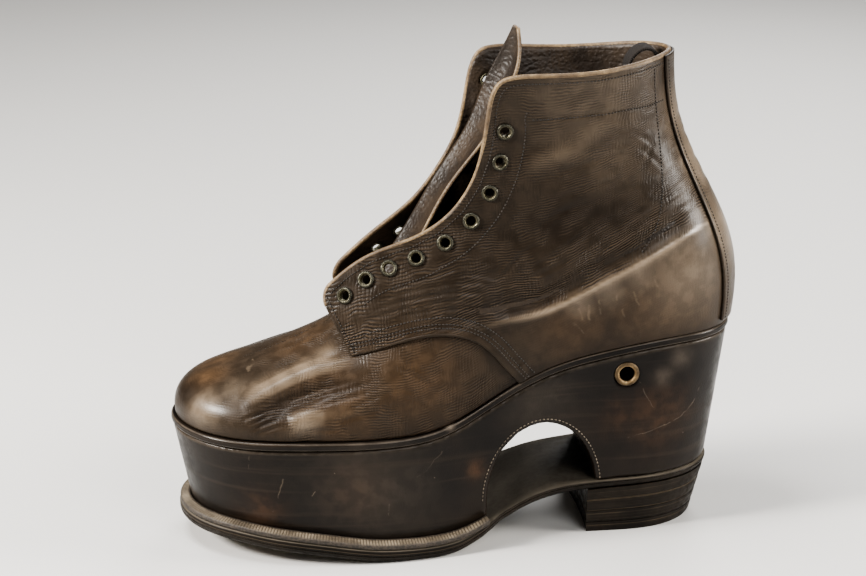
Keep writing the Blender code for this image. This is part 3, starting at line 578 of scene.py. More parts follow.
def upper_hide_material():
    """Dark brown polished calf, worn to russet and pale tan in places, with painted highlights on its ridges,
    crests and worn places and painted shade in its troughs and crease grooves.
    """
    material, tree, shader, place = new_material("upper_hide", 0.40, coat_roughness=0.28, specular=0.12)
    relief, flex, flow = [read_mark(tree, name) for name in ("relief", "flex", "flow")]
    blotch = use(tree, mottle, Vector=place, Scale=16.0)
    fine = blotch["Fine"]
    colour = blend(tree, blotch["Mask"], (0.0165, 0.0116, 0.0076, 1), (0.031, 0.0220, 0.0145, 1))
    colour = blend(tree, times(tree, fine, 0.22), colour, (0.062, 0.043, 0.0275, 1))
    warm = times(tree, read_mark(tree, "warm"), times(tree, fine, 0.35, 0.65))
    colour = blend(tree, warm, colour, (0.108, 0.062, 0.0310, 1))
    # Pale tan from rubbed: real wear with a painted highlight on the toe, ridges and counter edge
    rubbed = times(tree, read_mark(tree, "rubbed"), times(tree, fine, 0.25, 0.7))
    # Painted highlight: ridges of the relief lightened towards the same pale tan
    crest = smooth_range(tree, relief, 0.25, 1.4, 0.0, 0.32)
    colour = blend(tree, maths(tree, "ADD", rubbed, crest, clamp=True), colour, (0.240, 0.182, 0.126, 1))
    # Painted shade: troughs of the relief darkened; the grime mask below carries this painted shade besides
    # the real grime patches
    hollow = smooth_range(tree, relief, -0.1, -1.2, 0.0, 0.55)
    grime = maths(tree, "ADD", read_mark(tree, "grime"), hollow, clamp=True)
    colour = blend(tree, times(tree, grime, 0.8), colour, (0.011, 0.0075, 0.0050, 1))
    where = add(tree, "ShaderNodeSeparateXYZ", {0: place}).outputs
    lines = use(tree, fine_creases, Vector=joined(tree, where["X"], where["Y"], flow), Pitch=0.0014)
    cross = use(tree, fine_creases, Vector=joined(tree, flow, where["Y"], where["X"]), Pitch=0.0016)
    groove = times(tree, lines["Groove"], flex)
    # Painted shade in the fine crease grooves
    colour = blend(tree, times(tree, groove, 0.5), colour, (0.009, 0.0060, 0.0040, 1))
    # Painted highlight on the fine crease crests
    crest_highlight = times(tree, lines["Crest"], times(tree, flex, 0.24))
    colour = blend(tree, crest_highlight, colour, (0.120, 0.083, 0.052, 1))
    colour = add_scratches(tree, place, colour, UPPER_SCRATCHES, (0.22, 0.168, 0.115, 1), width=0.0009)
    rough = times(tree, rubbed, -0.10, times(tree, fine, 0.14, 0.36))
    feed(tree, shader, {"Base Color": colour, "Roughness": rough,
                        "Coat Weight": times(tree, rubbed, 0.8, 0.08)})
    height = times(tree, times(tree, cross["Groove"], flex), -0.55, times(tree, groove, -1.0))
    grain = use(tree, hide_grain, Vector=place, Cells=1250.0)
    bumped(tree, shader, times(tree, grain["Height"], 0.12, height), 0.8, 0.0003)
    return material


def lining_material():
    """Soft leather lining, crinkled and darkened by wear, with painted shade in its folds and crease grooves.
    """
    material, tree, shader, place = new_material("lining_hide", 0.46, specular=0.3)
    blotch = use(tree, mottle, Vector=place, Scale=40.0)
    colour = blend(tree, blotch["Mask"], (0.015, 0.0100, 0.0066, 1), (0.040, 0.027, 0.017, 1))
    # Painted shade: the lining's folds darkened where they sink
    hollow = smooth_range(tree, read_mark(tree, "relief"), -0.05, -0.6, 0.0, 0.7)
    colour = blend(tree, hollow, colour, (0.012, 0.009, 0.007, 1))
    lines = use(tree, fine_creases, Vector=place, Pitch=0.0030)
    # Painted shade in the fine crease grooves
    colour = blend(tree, times(tree, lines["Groove"], 0.4), colour, (0.014, 0.010, 0.007, 1))
    feed(tree, shader, {"Base Color": colour})
    grain = use(tree, hide_grain, Vector=place, Cells=620.0)
    height = times(tree, lines["Groove"], -1.0, grain["Height"])
    bumped(tree, shader, height, 0.5, 0.0003)
    return material


def cut_edge_material():
    """Raw cut edge of the leather, pale tan with darker layers."""
    material, tree, shader, place = new_material("cut_edge", 0.75)
    blotch = use(tree, mottle, Vector=place, Scale=120.0)
    colour = blend(tree, blotch["Mask"], (0.150, 0.100, 0.058, 1), (0.300, 0.215, 0.130, 1))
    colour = blend(tree, times(tree, blotch["Fine"], 0.35), colour, (0.075, 0.050, 0.030, 1))
    feed(tree, shader, {"Base Color": colour})
    bumped(tree, shader, blotch["Fine"], 0.5, 0.0003)
    return material


upper_hide = upper_hide_material()
lining_hide = lining_material()
cut_edge = cut_edge_material()


def give_wall(obj, thick, inner=1, rim=2, offset=-1.0):
    """Leather's thickness, grown inwards or to both sides, with its own finish inside and on its cut edge."""
    wall = obj.modifiers.new("wall", "SOLIDIFY")
    wall.thickness = thick * MM
    wall.offset = offset
    wall.material_offset = inner
    wall.material_offset_rim = rim


def finish_piece(obj, slot, *nodes):
    """Puts a piece on the boot's body, in place of the solids it shows."""
    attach(obj, "root")
    if nodes:
        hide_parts(*nodes)


vamp_rows = np.linspace(VAMP_RIBS[-1][0], -VAMP_RIBS[-1][0], VAMP_COLUMNS)
vamp_levels = np.linspace(0.0, 1.0, VAMP_LEVELS)
vamp_grid = np.array([on_vamp(row, vamp_levels) for row in vamp_rows])
vamp_points = vamp_grid.reshape(-1, 3)
vamp_flow = np.array([run_lengths(rib) for rib in vamp_grid]).ravel()
# It lies smooth where the quarters cover it, and its toe hardly flexes
covered = ease(vamp_points[:, 0], -52.0, 12.0) * ease(vamp_points[:, 2], 108.0, 8.0)
vamp_relief = crease_relief(vamp_points, VAMP_CREASES, on_vamp) * (1.0 - covered)
vamp_flex = 0.2 + 0.8 * ease(vamp_points[:, 0], -116.0, 36.0)
vamp = make_piece("vamp", vamp_points + grid_normals(vamp_grid).reshape(-1, 3) * vamp_relief[:, None],
                  grid_faces(VAMP_COLUMNS, VAMP_LEVELS), upper_hide, lining_hide, cut_edge,
                  marks=hide_marks(vamp_points, vamp_relief, vamp_flex, vamp_flow))
give_wall(vamp, WALL)
finish_piece(vamp, "upper_leather", "upper")

# Quarters
# The two sides of the boot, cut from the same skin and sewn over the vamp with a beaded edge.
# They meet under the backstay, carry the eyelets, and are lined; a stiff counter shows at the heel.

QUARTER_STEP = 1.7          # how far they stand proud of the vamp
OUTER_THICK = 1.35
LINING_THICK = 0.85
# Outer quarter from its front corner to the heel: foot-plan row of its lower edge, x, y, z of its
# upper edge, belly and sway of the wall between them
OUTER_QUARTER = (
    (4.00, -67.0, -15.0, 132.0, 1.5, 0.0),
    (4.65, -45.0, -19.5, 151.0, 2.0, 0.0),
    (5.30, -19.0, -22.0, 162.0, 2.0, 0.0),
    (5.80, -3.0, -24.0, 174.5, 3.0, 0.5),
    (6.22, 8.4, -27.0, 196.0, 1.5, 2.0),
    (6.45, 12.3, -29.5, 220.0, 0.0, 2.5),
    (6.62, 15.0, -30.0, 234.0, -0.5, 3.0),
    (6.72, 18.5, -30.8, 239.5, -0.5, 3.0),
    (6.82, 24.5, -32.3, 242.0, -0.5, 3.2),
    (7.00, 36.0, -34.5, 243.0, -0.5, 3.5),
    (7.60, 65.0, -35.5, 244.0, 0.5, 4.0),
    (8.40, 86.0, -27.0, 245.5, 2.0, 5.2),
    (9.20, 100.5, -13.0, 246.0, 3.0, 6.2),
)
HEEL_BACK = (10.0, 106.0, 0.0, 246.0, 3.0, 6.2)
INNER_QUARTER = (
    (4.00, -58.0, 17.0, 133.0, 1.5, 0.0),
    (4.65, -38.0, 19.5, 150.0, 2.0, 0.0),
    (5.30, -15.0, 22.0, 168.0, 2.0, 0.0),
    (5.80, -3.0, 24.0, 183.0, 3.0, 0.5),
    (6.22, 6.0, 26.5, 199.0, 1.5, 2.0),
    (6.45, 11.5, 29.0, 222.0, 0.0, 2.5),
    (6.62, 14.5, 29.3, 234.5, -0.5, 3.0),
    (6.72, 18.5, 30.0, 240.0, -0.5, 3.0),
    (6.82, 24.5, 31.5, 241.5, -0.5, 3.2),
    (7.00, 36.0, 34.0, 241.0, -0.5, 3.5),
    (7.60, 64.0, 35.5, 239.5, 0.5, 4.0),
    (8.40, 86.0, 27.0, 242.0, 2.0, 5.2),
    (9.20, 100.5, 13.0, 245.0, 3.0, 6.2),
)
CORNER = 6.5                # rounding of the front corners

# Creases of a quarter: depth (a ridge is negative), width, then places as distance along the upper
# edge from the front corner and share of the wall's height
QUARTER_CREASES = (
    (1.1, 14.0, (105, 0.55), (150, 0.50), (190, 0.50), (207, 0.55)),    # ankle
    (-0.7, 6.0, (160, 0.78), (190, 0.80), (215, 0.78)),
    (-0.8, 5.0, (150, 0.68), (172, 0.72), (190, 0.74)),
    (0.45, 1.3, (30, 0.30), (59, 0.27), (80, 0.31), (100, 0.36)),
    (0.40, 1.3, (71, 0.56), (124, 0.463), (154, 0.42)),
    (0.35, 1.2, (55, 0.544), (90, 0.55), (124, 0.50)),
    (0.35, 1.3, (145, 0.463), (165, 0.519), (190, 0.55)),
    (0.40, 1.2, (20, 0.45), (45, 0.42), (70, 0.42), (95, 0.43)),
    (0.40, 1.1, (12, 0.38), (35, 0.35), (60, 0.34), (85, 0.37)),
    (0.30, 1.0, (34, 0.58), (55, 0.60), (80, 0.63)),
    (0.30, 1.1, (24, 0.52), (50, 0.50), (76, 0.50), (100, 0.47)),
    (0.35, 1.4, (158, 0.64), (190, 0.69), (209, 0.69)),
    (0.30, 1.2, (160, 0.56), (185, 0.60), (205, 0.62)),
    (0.35, 1.4, (203, 0.60), (213, 0.66), (220, 0.74)),
    (0.45, 1.0, (156, 0.838), (188, 0.856), (225, 0.838)),              # collar band
    (0.35, 1.2, (196, 0.74), (210, 0.70), (222, 0.60)),
    (0.30, 1.1, (190, 0.80), (206, 0.77), (220, 0.69)),
)
# Upper edge of the stiff counter, which the lower creases follow: x, height
COUNTER_LINE = (
    (-75.0, 96.0), (0.0, 117.0), (17.0, 121.5), (33.6, 124.0), (49.8, 129.5), (65.0, 137.5), (80.0, 145.5),
    (96.4, 154.0), (108.5, 159.5), (125.0, 163.5), (145.0, 164.0),
)
COUNTER_EDGE = 1.25         # how far the edge stands out
COUNTER_HOLLOW = 1.5        # how far the leather sinks over it
# Folds over the counter: depth, width, distance over its edge in front and at the back
COUNTER_FOLDS = (
    (0.40, 1.0, 3.4, 4.4), (0.45, 1.1, 6.2, 8.0), (0.45, 1.2, 9.5, 12.5), (0.40, 1.2, 13.0, 17.5),
    (0.35, 1.3, 17.0, 23.0), (0.35, 1.4, 22.0, 30.0),
)
SEAM_BAND = 7.8             # width of the band along the lower edge, which lies double
SEAM_BAND_HIGH = 0.35
EYELET_DENT = 0.25          # leather drawn in round an eyelet
# Folds of the lining beside the facings, the same way
LINING_CREASES = (
    (0.6, 1.6, (20, 0.95), (26, 0.80), (30, 0.62)),
    (0.6, 1.6, (34, 0.96), (42, 0.80), (50, 0.60)),
    (0.5, 1.5, (55, 0.95), (60, 0.84), (68, 0.70)),
    (0.6, 1.6, (72, 0.97), (84, 0.88), (92, 0.74)),
    (0.5, 1.5, (95, 0.97), (104, 0.90), (112, 0.80)),
    (0.6, 1.6, (112, 0.97), (124, 0.90), (136, 0.84)),
    (0.5, 1.6, (128, 0.97), (142, 0.92), (156, 0.90)),
    (0.6, 2.0, (150, 0.86), (175, 0.90), (205, 0.86)),
    (0.5, 2.0, (150, 0.76), (180, 0.80), (210, 0.78)),
)


def quarter_rows():
    """Rows of both quarters in one run, from the outer front corner round the heel to the inner one."""
    outer = [(-row[0], *row[1:]) for row in OUTER_QUARTER]
    heel = [(-HEEL_BACK[0], *HEEL_BACK[1:])]
    inner = [(row[0] - 2 * LAST_ROW, *row[1:]) for row in reversed(INNER_QUARTER)]
    return np.array(outer + heel + inner)


QUARTER_ALONG = run_lengths(quarter_rows()[:, 1:4])
HEEL_ALONG = QUARTER_ALONG[len(OUTER_QUARTER)]
LAST_ALONG = QUARTER_ALONG[-1]
# Where the quarters' lower edge leaves the vamp for the rand
OUTER_SEAM_END, INNER_SEAM_END = QUARTER_ALONG[4], QUARTER_ALONG[-5]
quarter_at = curve_through(QUARTER_ALONG, quarter_rows())


def quarter_point(along, reach):
    """Point on the quarters: a wall from its lower edge, on vamp or rand, up to facing and collar."""
    along, reach = np.broadcast_arrays(np.atleast_1d(along).astype(float), reach)
    run, top_x, top_y, top_z, belly, sway = quarter_at(along).T
    row = np.where(run < -LAST_ROW, run + 2 * LAST_ROW, run)
    on_seam = vamp_point(np.clip(row, -SEAM_END, SEAM_END), seam_reach(row))
    low = np.where((np.abs(row) < SEAM_END)[:, None], on_seam, feather_point(row))
    top = np.column_stack([top_x, top_y, top_z])
    short = CORNER - np.clip(np.minimum(along, LAST_ALONG - along), 0.0, CORNER)
    drop = CORNER - np.sqrt(CORNER ** 2 - short ** 2)
    reach = reach * (1.0 - drop / np.linalg.norm(top - low, axis=1))
    bulge = belly * np.sin(math.pi * reach) + sway * np.sin(2 * math.pi * reach)
    away = np.column_stack([outward(foot_plan, run), np.zeros(len(run))])
    return low + (top - low) * reach[:, None] + away * bulge[:, None]


def quarter_normal(along, reach):
    """Unit normal of the quarters, pointing out of the boot."""
    forward = quarter_point(along + 0.5, reach) - quarter_point(along - 0.5, reach)
    upward = quarter_point(along, reach + 0.01) - quarter_point(along, reach - 0.01)
    return unit(np.cross(forward, upward))


def on_quarter(lift):
    """Function of places on the quarters that stand out from their surface by a lift."""
    def spot(along, share):
        return quarter_point(along, share) + quarter_normal(along, share) * lift
    return spot


def both_sides(table):
    """Outer quarter's creases and the same ones, a little softer, on the inner quarter."""
    inner = [(depth * 0.8, width, *[(LAST_ALONG - along, share) for along, share in places])
             for depth, width, *places in table]
    return list(table) + inner


counter_line = curve_of(COUNTER_LINE)


def over_counter(points):
    """Distance of each point over the counter's edge."""
    x = points[:, 0]
    slope = (counter_line(x + 1)[:, 0] - counter_line(x - 1)[:, 0]) / 2
    return (points[:, 2] - counter_line(x)[:, 0]) / np.sqrt(1 + slope ** 2)


def counter_edge(points, below, above):
    """Share of the counter's edge at each point: a crest that grows in towards the heel."""
    gap = over_counter(points)
    return bell(gap, 0.0, np.where(gap < 0, below, above)) * ease(points[:, 0], 2.0, 40.0)


def counter_relief(points):
    """Edge of the counter, the hollow over it and the folds that run along it, gone before the backstay."""
    x, gap = points[:, 0], over_counter(points)
    long_start = ease(x, -45.0, 65.0)
    relief = COUNTER_EDGE * counter_edge(points, 3.4, 1.6)
    relief -= COUNTER_HOLLOW * bell(gap, 7.0, 4.8) * long_start
    for depth, width, front, back in COUNTER_FOLDS:
        course = front + (back - front) * np.clip((x - 15.0) / 100.0, 0.0, 1.0)
        away = np.abs(gap - course - 0.5 * np.sin(x / 7.0 + 2 * front)) / width
        relief += depth * trough(away) * (0.7 + 0.3 * np.sin(x / 12.0 + front)) * long_start
    return relief * (1.0 - ease(x, 100.0, 24.0))


def crease_run(points):
    """Height that is level along the counter's edge and grows level with the floor towards the collar."""
    share = 1.0 - 0.75 * ease(over_counter(points), 5.0, 75.0)
    return points[:, 2] - (counter_line(points[:, 0])[:, 0] - 120.0) * share


def seam_band_relief(alongs, rises):
    """Band along the lower edge, with the stitched channel in its middle, as far as the vamp goes."""
    front = np.minimum(alongs, LAST_ALONG - alongs)
    band = SEAM_BAND_HIGH * (1.0 - ease(rises, SEAM_BAND, 2.4)) - 0.2 * bell(rises, 4.1, 1.3)
    return band * (1.0 - ease(front, OUTER_SEAM_END + 2.0, 6.0))


def eyelet_dents(points):
    """Leather drawn in round the eyelets."""
    relief = np.zeros(len(points))
    for middle, _ in seats:
        gap = np.linalg.norm(points - middle, axis=1)
        relief -= EYELET_DENT * bell(gap, 4.6, 1.5)
    return relief


EYELETS = 9
EYELET_PITCH = 14.2
EYELET_START = 9.5
EYELET_INSET = 9.4
EYELET_HOLE = 2.9
FACING_LONG = 190.0


def eyelet_seats():
    """Middle and axis of each eyelet, set in from each facing edge at an even pitch."""
    seats = []
    reaches = np.linspace(0.6, 1.0, 81)
    for front, turn in ((0.0, 1.0), (LAST_ALONG, -1.0)):
        places = front + turn * np.arange(0.0, FACING_LONG, 0.5)
        panel = np.array([quarter_point(place, reaches) for place in places])
        for number in range(EYELETS):
            along = front + turn * (EYELET_START + number * EYELET_PITCH)
            edge = quarter_point(along, 1.0)[0]
            run = turn * (quarter_point(along + 1, 1.0) - quarter_point(along - 1, 1.0))[0]
            inward = np.cross(run, quarter_normal(np.array([along]), np.array([0.97]))[0]) * turn
            target = edge + unit(inward) * EYELET_INSET
            nearest = np.argmin(np.linalg.norm(panel - target, axis=2))
            column, level = np.unravel_index(nearest, panel.shape[:2])
            axis = quarter_normal(places[column:column + 1], reaches[level:level + 1])[0]
            seats.append((panel[column, level] + axis * QUARTER_STEP, axis))
    return seats


def holed_faces(columns, rows, grid, seats):
    """Quads of a grid without those that the eyelets go through."""
    faces = np.array(grid_faces(columns, rows))
    middles = grid.reshape(-1, 3)[faces].mean(axis=1)
    for middle, axis in seats:
        off = middles - middle
        depth = off @ axis
        radius = np.linalg.norm(off - depth[:, None] * axis, axis=1)
        clear = (radius > EYELET_HOLE) | (np.abs(depth) > 6.0)
        faces, middles = faces[clear], middles[clear]
    return faces.tolist()


seats = eyelet_seats()
# Rows up a quarter, closer in the band along its lower edge
BAND_SHARE = 0.11
quarter_shares = np.r_[np.linspace(0.0, BAND_SHARE, 26), np.linspace(BAND_SHARE, 1.0, 101)[1:]]


def quarter_panel(places, shares, lift):
    """Points of a panel of the quarters at a lift from their surface, and its normals, columns along."""
    alongs, reaches = [part.ravel() for part in np.meshgrid(places, shares, indexing="ij")]
    normals = quarter_normal(alongs, reaches)
    return alongs, reaches, quarter_point(alongs, reaches) + normals * lift, normals


def make_quarter(name, places):
    """One quarter with its counter, creases, seam band and eyelet holes."""
    alongs, reaches, points, normals = quarter_panel(places, quarter_shares, QUARTER_STEP)
    heights = np.linalg.norm(quarter_point(alongs, 1.0) - quarter_point(alongs, 0.0), axis=1)
    relief = crease_relief(points, both_sides(QUARTER_CREASES), on_quarter(QUARTER_STEP))
    relief += counter_relief(points)
    relief += seam_band_relief(alongs, reaches * heights) + eyelet_dents(points)
    gap = over_counter(points)
    flex = 0.12 + 0.88 * ease(gap, -1.0, 4.0) + 1.1 * bell(gap, 11.0, 9.0)
    marks = hide_marks(points, relief, flex, crease_run(points))
    # Pale line along the counter's edge: a painted highlight on its ridge, in the rubbed mark
    marks["rubbed"] = np.maximum(marks["rubbed"], counter_edge(points, 1.6, 0.9))
    quarter = make_piece(name, points + normals * relief[:, None],
                         holed_faces(len(places), len(quarter_shares), points, seats),
                         upper_hide, lining_hide, cut_edge, marks=marks)
    give_wall(quarter, OUTER_THICK)
    finish_piece(quarter, "upper_leather", "upper")
    return quarter


CORNER_STEPS = 10
QUARTER_COLUMNS = 312
LINING_COLUMNS = 223
LINING_ROWS = 66
corner_places = CORNER * (1.0 - np.cos(np.linspace(0.0, math.pi / 2, CORNER_STEPS)))
outer_places = np.r_[corner_places, np.linspace(CORNER, HEEL_ALONG, QUARTER_COLUMNS)[1:]]
inner_places = np.r_[np.linspace(HEEL_ALONG, LAST_ALONG - CORNER, QUARTER_COLUMNS),
                     LAST_ALONG - corner_places[-2::-1]]
outer_quarter = make_quarter("outer_quarter", outer_places)
inner_quarter = make_quarter("inner_quarter", inner_places)

lining_places = np.r_[outer_places[:CORNER_STEPS],
                      np.linspace(CORNER, LAST_ALONG - CORNER, LINING_COLUMNS)[1:-1],
                      inner_places[-CORNER_STEPS:]]
lining_shares = np.linspace(0.0, 1.0, LINING_ROWS)
lining_lift = QUARTER_STEP - OUTER_THICK - 0.1
_, _, lining_points, lining_normals = quarter_panel(lining_places, lining_shares, lining_lift)
lining_folds = crease_relief(lining_points, both_sides(LINING_CREASES), on_quarter(0.0))
lining_relief = np.minimum(lining_folds, 0.0)
lining = make_piece("quarter_lining", lining_points + lining_normals * lining_relief[:, None],
                    holed_faces(len(lining_places), LINING_ROWS, lining_points, seats),
                    lining_hide, lining_hide, cut_edge, marks={"relief": lining_relief})
give_wall(lining, LINING_THICK)
finish_piece(lining, "tongue_leather", "upper")

# Seams and edges of the quarters
# Their lower edge is rolled over a cord where it lies on the vamp, and facings and collar are bound in
# pale tan leather. Waxed thread runs in rows above the cord, along the bound edges and beside the backstay.

BEAD_RADIUS = 0.85
BEAD_RISE = 40                   # steps of the bead down the front edge
BINDING_RADIUS = 1.25
THREAD_PITCH = 1.75
THREAD_LONG = 1.3
THREAD_THICK = 0.7
SEAM_ROWS = (3.2, 5.0, 8.3)      # rises of the stitch rows above the quarters' lower edge
FRONT_ROW = 2.4                  # inset of the row down the front edge
FRONT_STEPS = 60
SEAM_SHORT = 1.8                 # how far the cord ends before the rand
SEAM_STEPS = 160
STITCH_LIFT = 0.12
OUTER_SEAM = np.linspace(0.0, OUTER_SEAM_END - SEAM_SHORT, SEAM_STEPS)
INNER_SEAM = np.linspace(LAST_ALONG, INNER_SEAM_END + SEAM_SHORT, SEAM_STEPS)
# Rows along facings and collar, behind the eyelets, and under the collar band: inset from the upper edge,
# first and last distance along it (None is up to the backstay), steps
INSET_ROWS = ((3.4, 4.0, None, 400), (19.0, 16.0, 136.0, 200), (22.0, 163.0, None, 120))
BACK_ROW = ((227, 0.963), (223, 0.713), (213, 0.481), (202, 0.35))


def surface_of(obj):
    """Search tree of a piece's surface."""
    shape = bmesh.new()
    shape.from_mesh(obj.data)
    tree = BVHTree.FromBMesh(shape)
    shape.free()
    return tree


def laid_on(surface, path, lift):
    """Path of points laid on a surface."""
    laid = []
    for point in path:
        spot, normal, _, _ = surface.find_nearest(Vector((point - CENTRE) * MM))
        laid.append(np.array(spot + normal * lift * MM) / MM + CENTRE)
    return np.array(laid)


def seam_path(alongs, rise):
    """Path beside the quarters' lower edge, carried on straight until it meets the rand."""
    edge = on_quarter(QUARTER_STEP)(alongs, np.zeros(len(alongs)))
    run = np.gradient(edge, axis=0)
    up = quarter_point(alongs, 0.06) - quarter_point(alongs, 0.0)
    up -= run * (np.sum(up * run, axis=1) / np.sum(run * run, axis=1))[:, None]
    path = edge + unit(up) * rise
    last = path[-1] - path[-2]
    carried = path[-1] + np.linspace(0.0, 1.6 * rise, 12)[1:, None] * unit(last)
    path = np.vstack([path, carried])
    return path[path[:, 2] > feather_height(path[:, 0]) + 1.2]


def inset_path(alongs, inset):
    """Path over the quarters at a distance in from their upper edge."""
    edge = quarter_point(alongs, 1.0)
    run = quarter_point(alongs + 1, 1.0) - quarter_point(alongs - 1, 1.0)
    inward = np.cross(run, quarter_normal(alongs, np.full(len(alongs), 0.97)))
    return edge + unit(inward) * inset


def cord_along(name, path, radius, material, sides=10):
    """Round cord along a path, with flat ends."""
    run = unit(np.gradient(path, axis=0))
    across = unit(np.cross(run, (0.3, 1.0, 0.2)))
    other = np.cross(run, across)
    angles = np.arange(sides) * 2 * math.pi / sides
    rings = [path + radius * (math.cos(a) * across + math.sin(a) * other) for a in angles]
    faces = grid_faces(sides, len(path), wrap=True)
    faces += [tuple(range(end, sides * len(path), len(path))) for end in (0, len(path) - 1)]
    return make_piece(name, rings, faces, material, closed=True)


def as_plain_mesh(obj):
    """Turns a piece with its modifiers into a plain mesh."""
    graph = bpy.context.evaluated_depsgraph_get()
    mesh = bpy.data.meshes.new_from_object(obj.evaluated_get(graph), preserve_all_data_layers=True,
                                           depsgraph=graph)
    obj.modifiers.clear()
    obj.data = mesh


def new_tree(name, **inputs):
    """Geometry node tree with named inputs; returns it, its input sockets and its output node."""
    tree = bpy.data.node_groups.new(name, "GeometryNodeTree")
    tree.interface.new_socket("Geometry", in_out="OUTPUT", socket_type="NodeSocketGeometry")
    for label, kind in {"Geometry": "Geometry", **inputs}.items():
        tree.interface.new_socket(label, in_out="INPUT", socket_type=f"NodeSocket{kind}")
    return tree, tree.nodes.new("NodeGroupInput").outputs, tree.nodes.new("NodeGroupOutput")


def run_tree(obj, tree, values):
    """Runs a geometry node tree on a piece with its inputs set, and keeps the result as a plain mesh."""
    modifier = obj.modifiers.new(tree.name, "NODES")
    modifier.node_group = tree
    for item in tree.interface.items_tree:
        if item.in_out == "INPUT" and item.name in values:
            modifier[item.identifier] = values[item.name]
    as_plain_mesh(obj)


def stitch_row_tree():
    """Row of stitches: drops of thread at an even pitch along the edges of a mesh."""
    tree, given, out = new_tree("stitch_row", Pitch="Float", Length="Float", Thickness="Float",
                                Thread="Material")
    line = add(tree, "GeometryNodeMeshToCurve", {"Mesh": given["Geometry"]})
    even = add(tree, "GeometryNodeResampleCurve", {"Curve": line.outputs[0], "Length": given["Pitch"]},
               mode="LENGTH")
    drop = add(tree, "GeometryNodeMeshUVSphere", {"Segments": 6, "Rings": 5, "Radius": 0.5})
    run = add(tree, "GeometryNodeInputTangent")
    turn = add(tree, "FunctionNodeAlignRotationToVector", {"Vector": run.outputs[0]}, axis="X")
    size = joined(tree, given["Length"], given["Thickness"], given["Thickness"])
    row = add(tree, "GeometryNodeInstanceOnPoints", {"Points": even.outputs[0], "Instance": drop.outputs[0],
                                                     "Rotation": turn.outputs[0], "Scale": size})
    real = add(tree, "GeometryNodeRealizeInstances", {"Geometry": row.outputs[0]})
    smooth = add(tree, "GeometryNodeSetShadeSmooth", {"Geometry": real.outputs[0]})
    sewn = add(tree, "GeometryNodeSetMaterial", {"Geometry": smooth.outputs[0], "Material": given["Thread"]})
    feed(tree, out, {"Geometry": sewn.outputs[0]})
    return tree


def sew(name, paths, thread, slot, pitch=THREAD_PITCH, long=THREAD_LONG, thick=THREAD_THICK):
    """Stitches along paths, as one piece."""
    starts = np.cumsum([0] + [len(path) for path in paths])
    edges = [(start + i, start + i + 1) for start, path in zip(starts, paths) for i in range(len(path) - 1)]
    mesh = bpy.data.meshes.new(name)
    mesh.from_pydata((np.vstack(paths) - CENTRE) * MM, edges, [])
    obj = new_object(name, mesh)
    run_tree(obj, stitch_row, {"Pitch": pitch * MM, "Length": long * MM, "Thickness": thick * MM,
                               "Thread": thread})
    finish_piece(obj, slot)


def thread_material(name, dark, light):
    """Waxed linen thread, twisted and soiled."""
    material, tree, shader, place = new_material(name, 0.6)
    blotch = use(tree, mottle, Vector=place, Scale=160.0)
    feed(tree, shader, {"Base Color": blend(tree, blotch["Mask"], dark, light)})
    bumped(tree, shader, blotch["Fine"], 0.4, 0.0002)
    return material


def binding_material():
    """Pale tan edge binding, dark where hands have soiled it."""
    material, tree, shader, place = new_material("edge_binding", 0.55)
    blotch = use(tree, mottle, Vector=place, Scale=70.0)
    colour = blend(tree, blotch["Mask"], (0.095, 0.060, 0.030, 1), (0.245, 0.168, 0.086, 1))
    colour = blend(tree, times(tree, blotch["Fine"], 0.45), colour, (0.060, 0.038, 0.022, 1))
    feed(tree, shader, {"Base Color": colour})
    grain = use(tree, hide_grain, Vector=place, Cells=1100.0)
    bumped(tree, shader, grain["Height"], 0.4, 0.0003)
    return material


stitch_row = stitch_row_tree()
dark_thread = thread_material("dark_thread", (0.010, 0.008, 0.006, 1), (0.028, 0.020, 0.014, 1))
edge_binding = binding_material()

for side, alongs in (("outer", OUTER_SEAM), ("inner", INNER_SEAM)):
    bead_alongs = np.r_[np.full(BEAD_RISE, alongs[0]), alongs]
    bead_shares = np.r_[np.linspace(0.98, 0.025, BEAD_RISE), np.zeros(len(alongs))]
    bead_path = on_quarter(QUARTER_STEP - 0.5)(bead_alongs, bead_shares)
    bead = cord_along(f"seam_bead_{side}", bead_path, BEAD_RADIUS, upper_hide)
    finish_piece(bead, "upper_leather")

binding_places = np.r_[outer_places, inner_places[1:]]
binding_path = on_quarter(QUARTER_STEP - 1.1)(binding_places, np.ones(len(binding_places)))
binding = cord_along("edge_binding", binding_path, BINDING_RADIUS, edge_binding, sides=12)
finish_piece(binding, "tongue_leather")

BACKSTAY_HALF = 16.0             # half the width of the strip over the back seam
back_course = curve_through(np.linspace(0.0, 1.0, len(BACK_ROW)), BACK_ROW)(np.linspace(0.0, 1.0, 90))
for quarter, start, turn, seam in ((outer_quarter, 0.0, 1.0, OUTER_SEAM),
                                   (inner_quarter, LAST_ALONG, -1.0, INNER_SEAM)):
    to_back = abs(HEEL_ALONG - start) - BACKSTAY_HALF - 1
    rows = [seam_path(seam[4:], rise) for rise in SEAM_ROWS]
    front = np.full(FRONT_STEPS, start + turn * FRONT_ROW)
    rows.append(on_quarter(QUARTER_STEP)(front, np.linspace(0.05, 0.93, FRONT_STEPS)))
    for inset, first, last, steps in INSET_ROWS:
        rows.append(inset_path(start + turn * np.linspace(first, last or to_back, steps), inset))
    rows.append(on_quarter(QUARTER_STEP)(start + turn * back_course[:, 0], back_course[:, 1]))
    surface = surface_of(quarter)
    laid_rows = [laid_on(surface, row, STITCH_LIFT) for row in rows]
    sew(f"{quarter.name}_stitches", laid_rows, dark_thread, "upper_leather")

# Backstay
# A strip of the upper's skin that covers the back seam from the heel seat to the collar.
# It is sewn down along both edges with a row of thread.

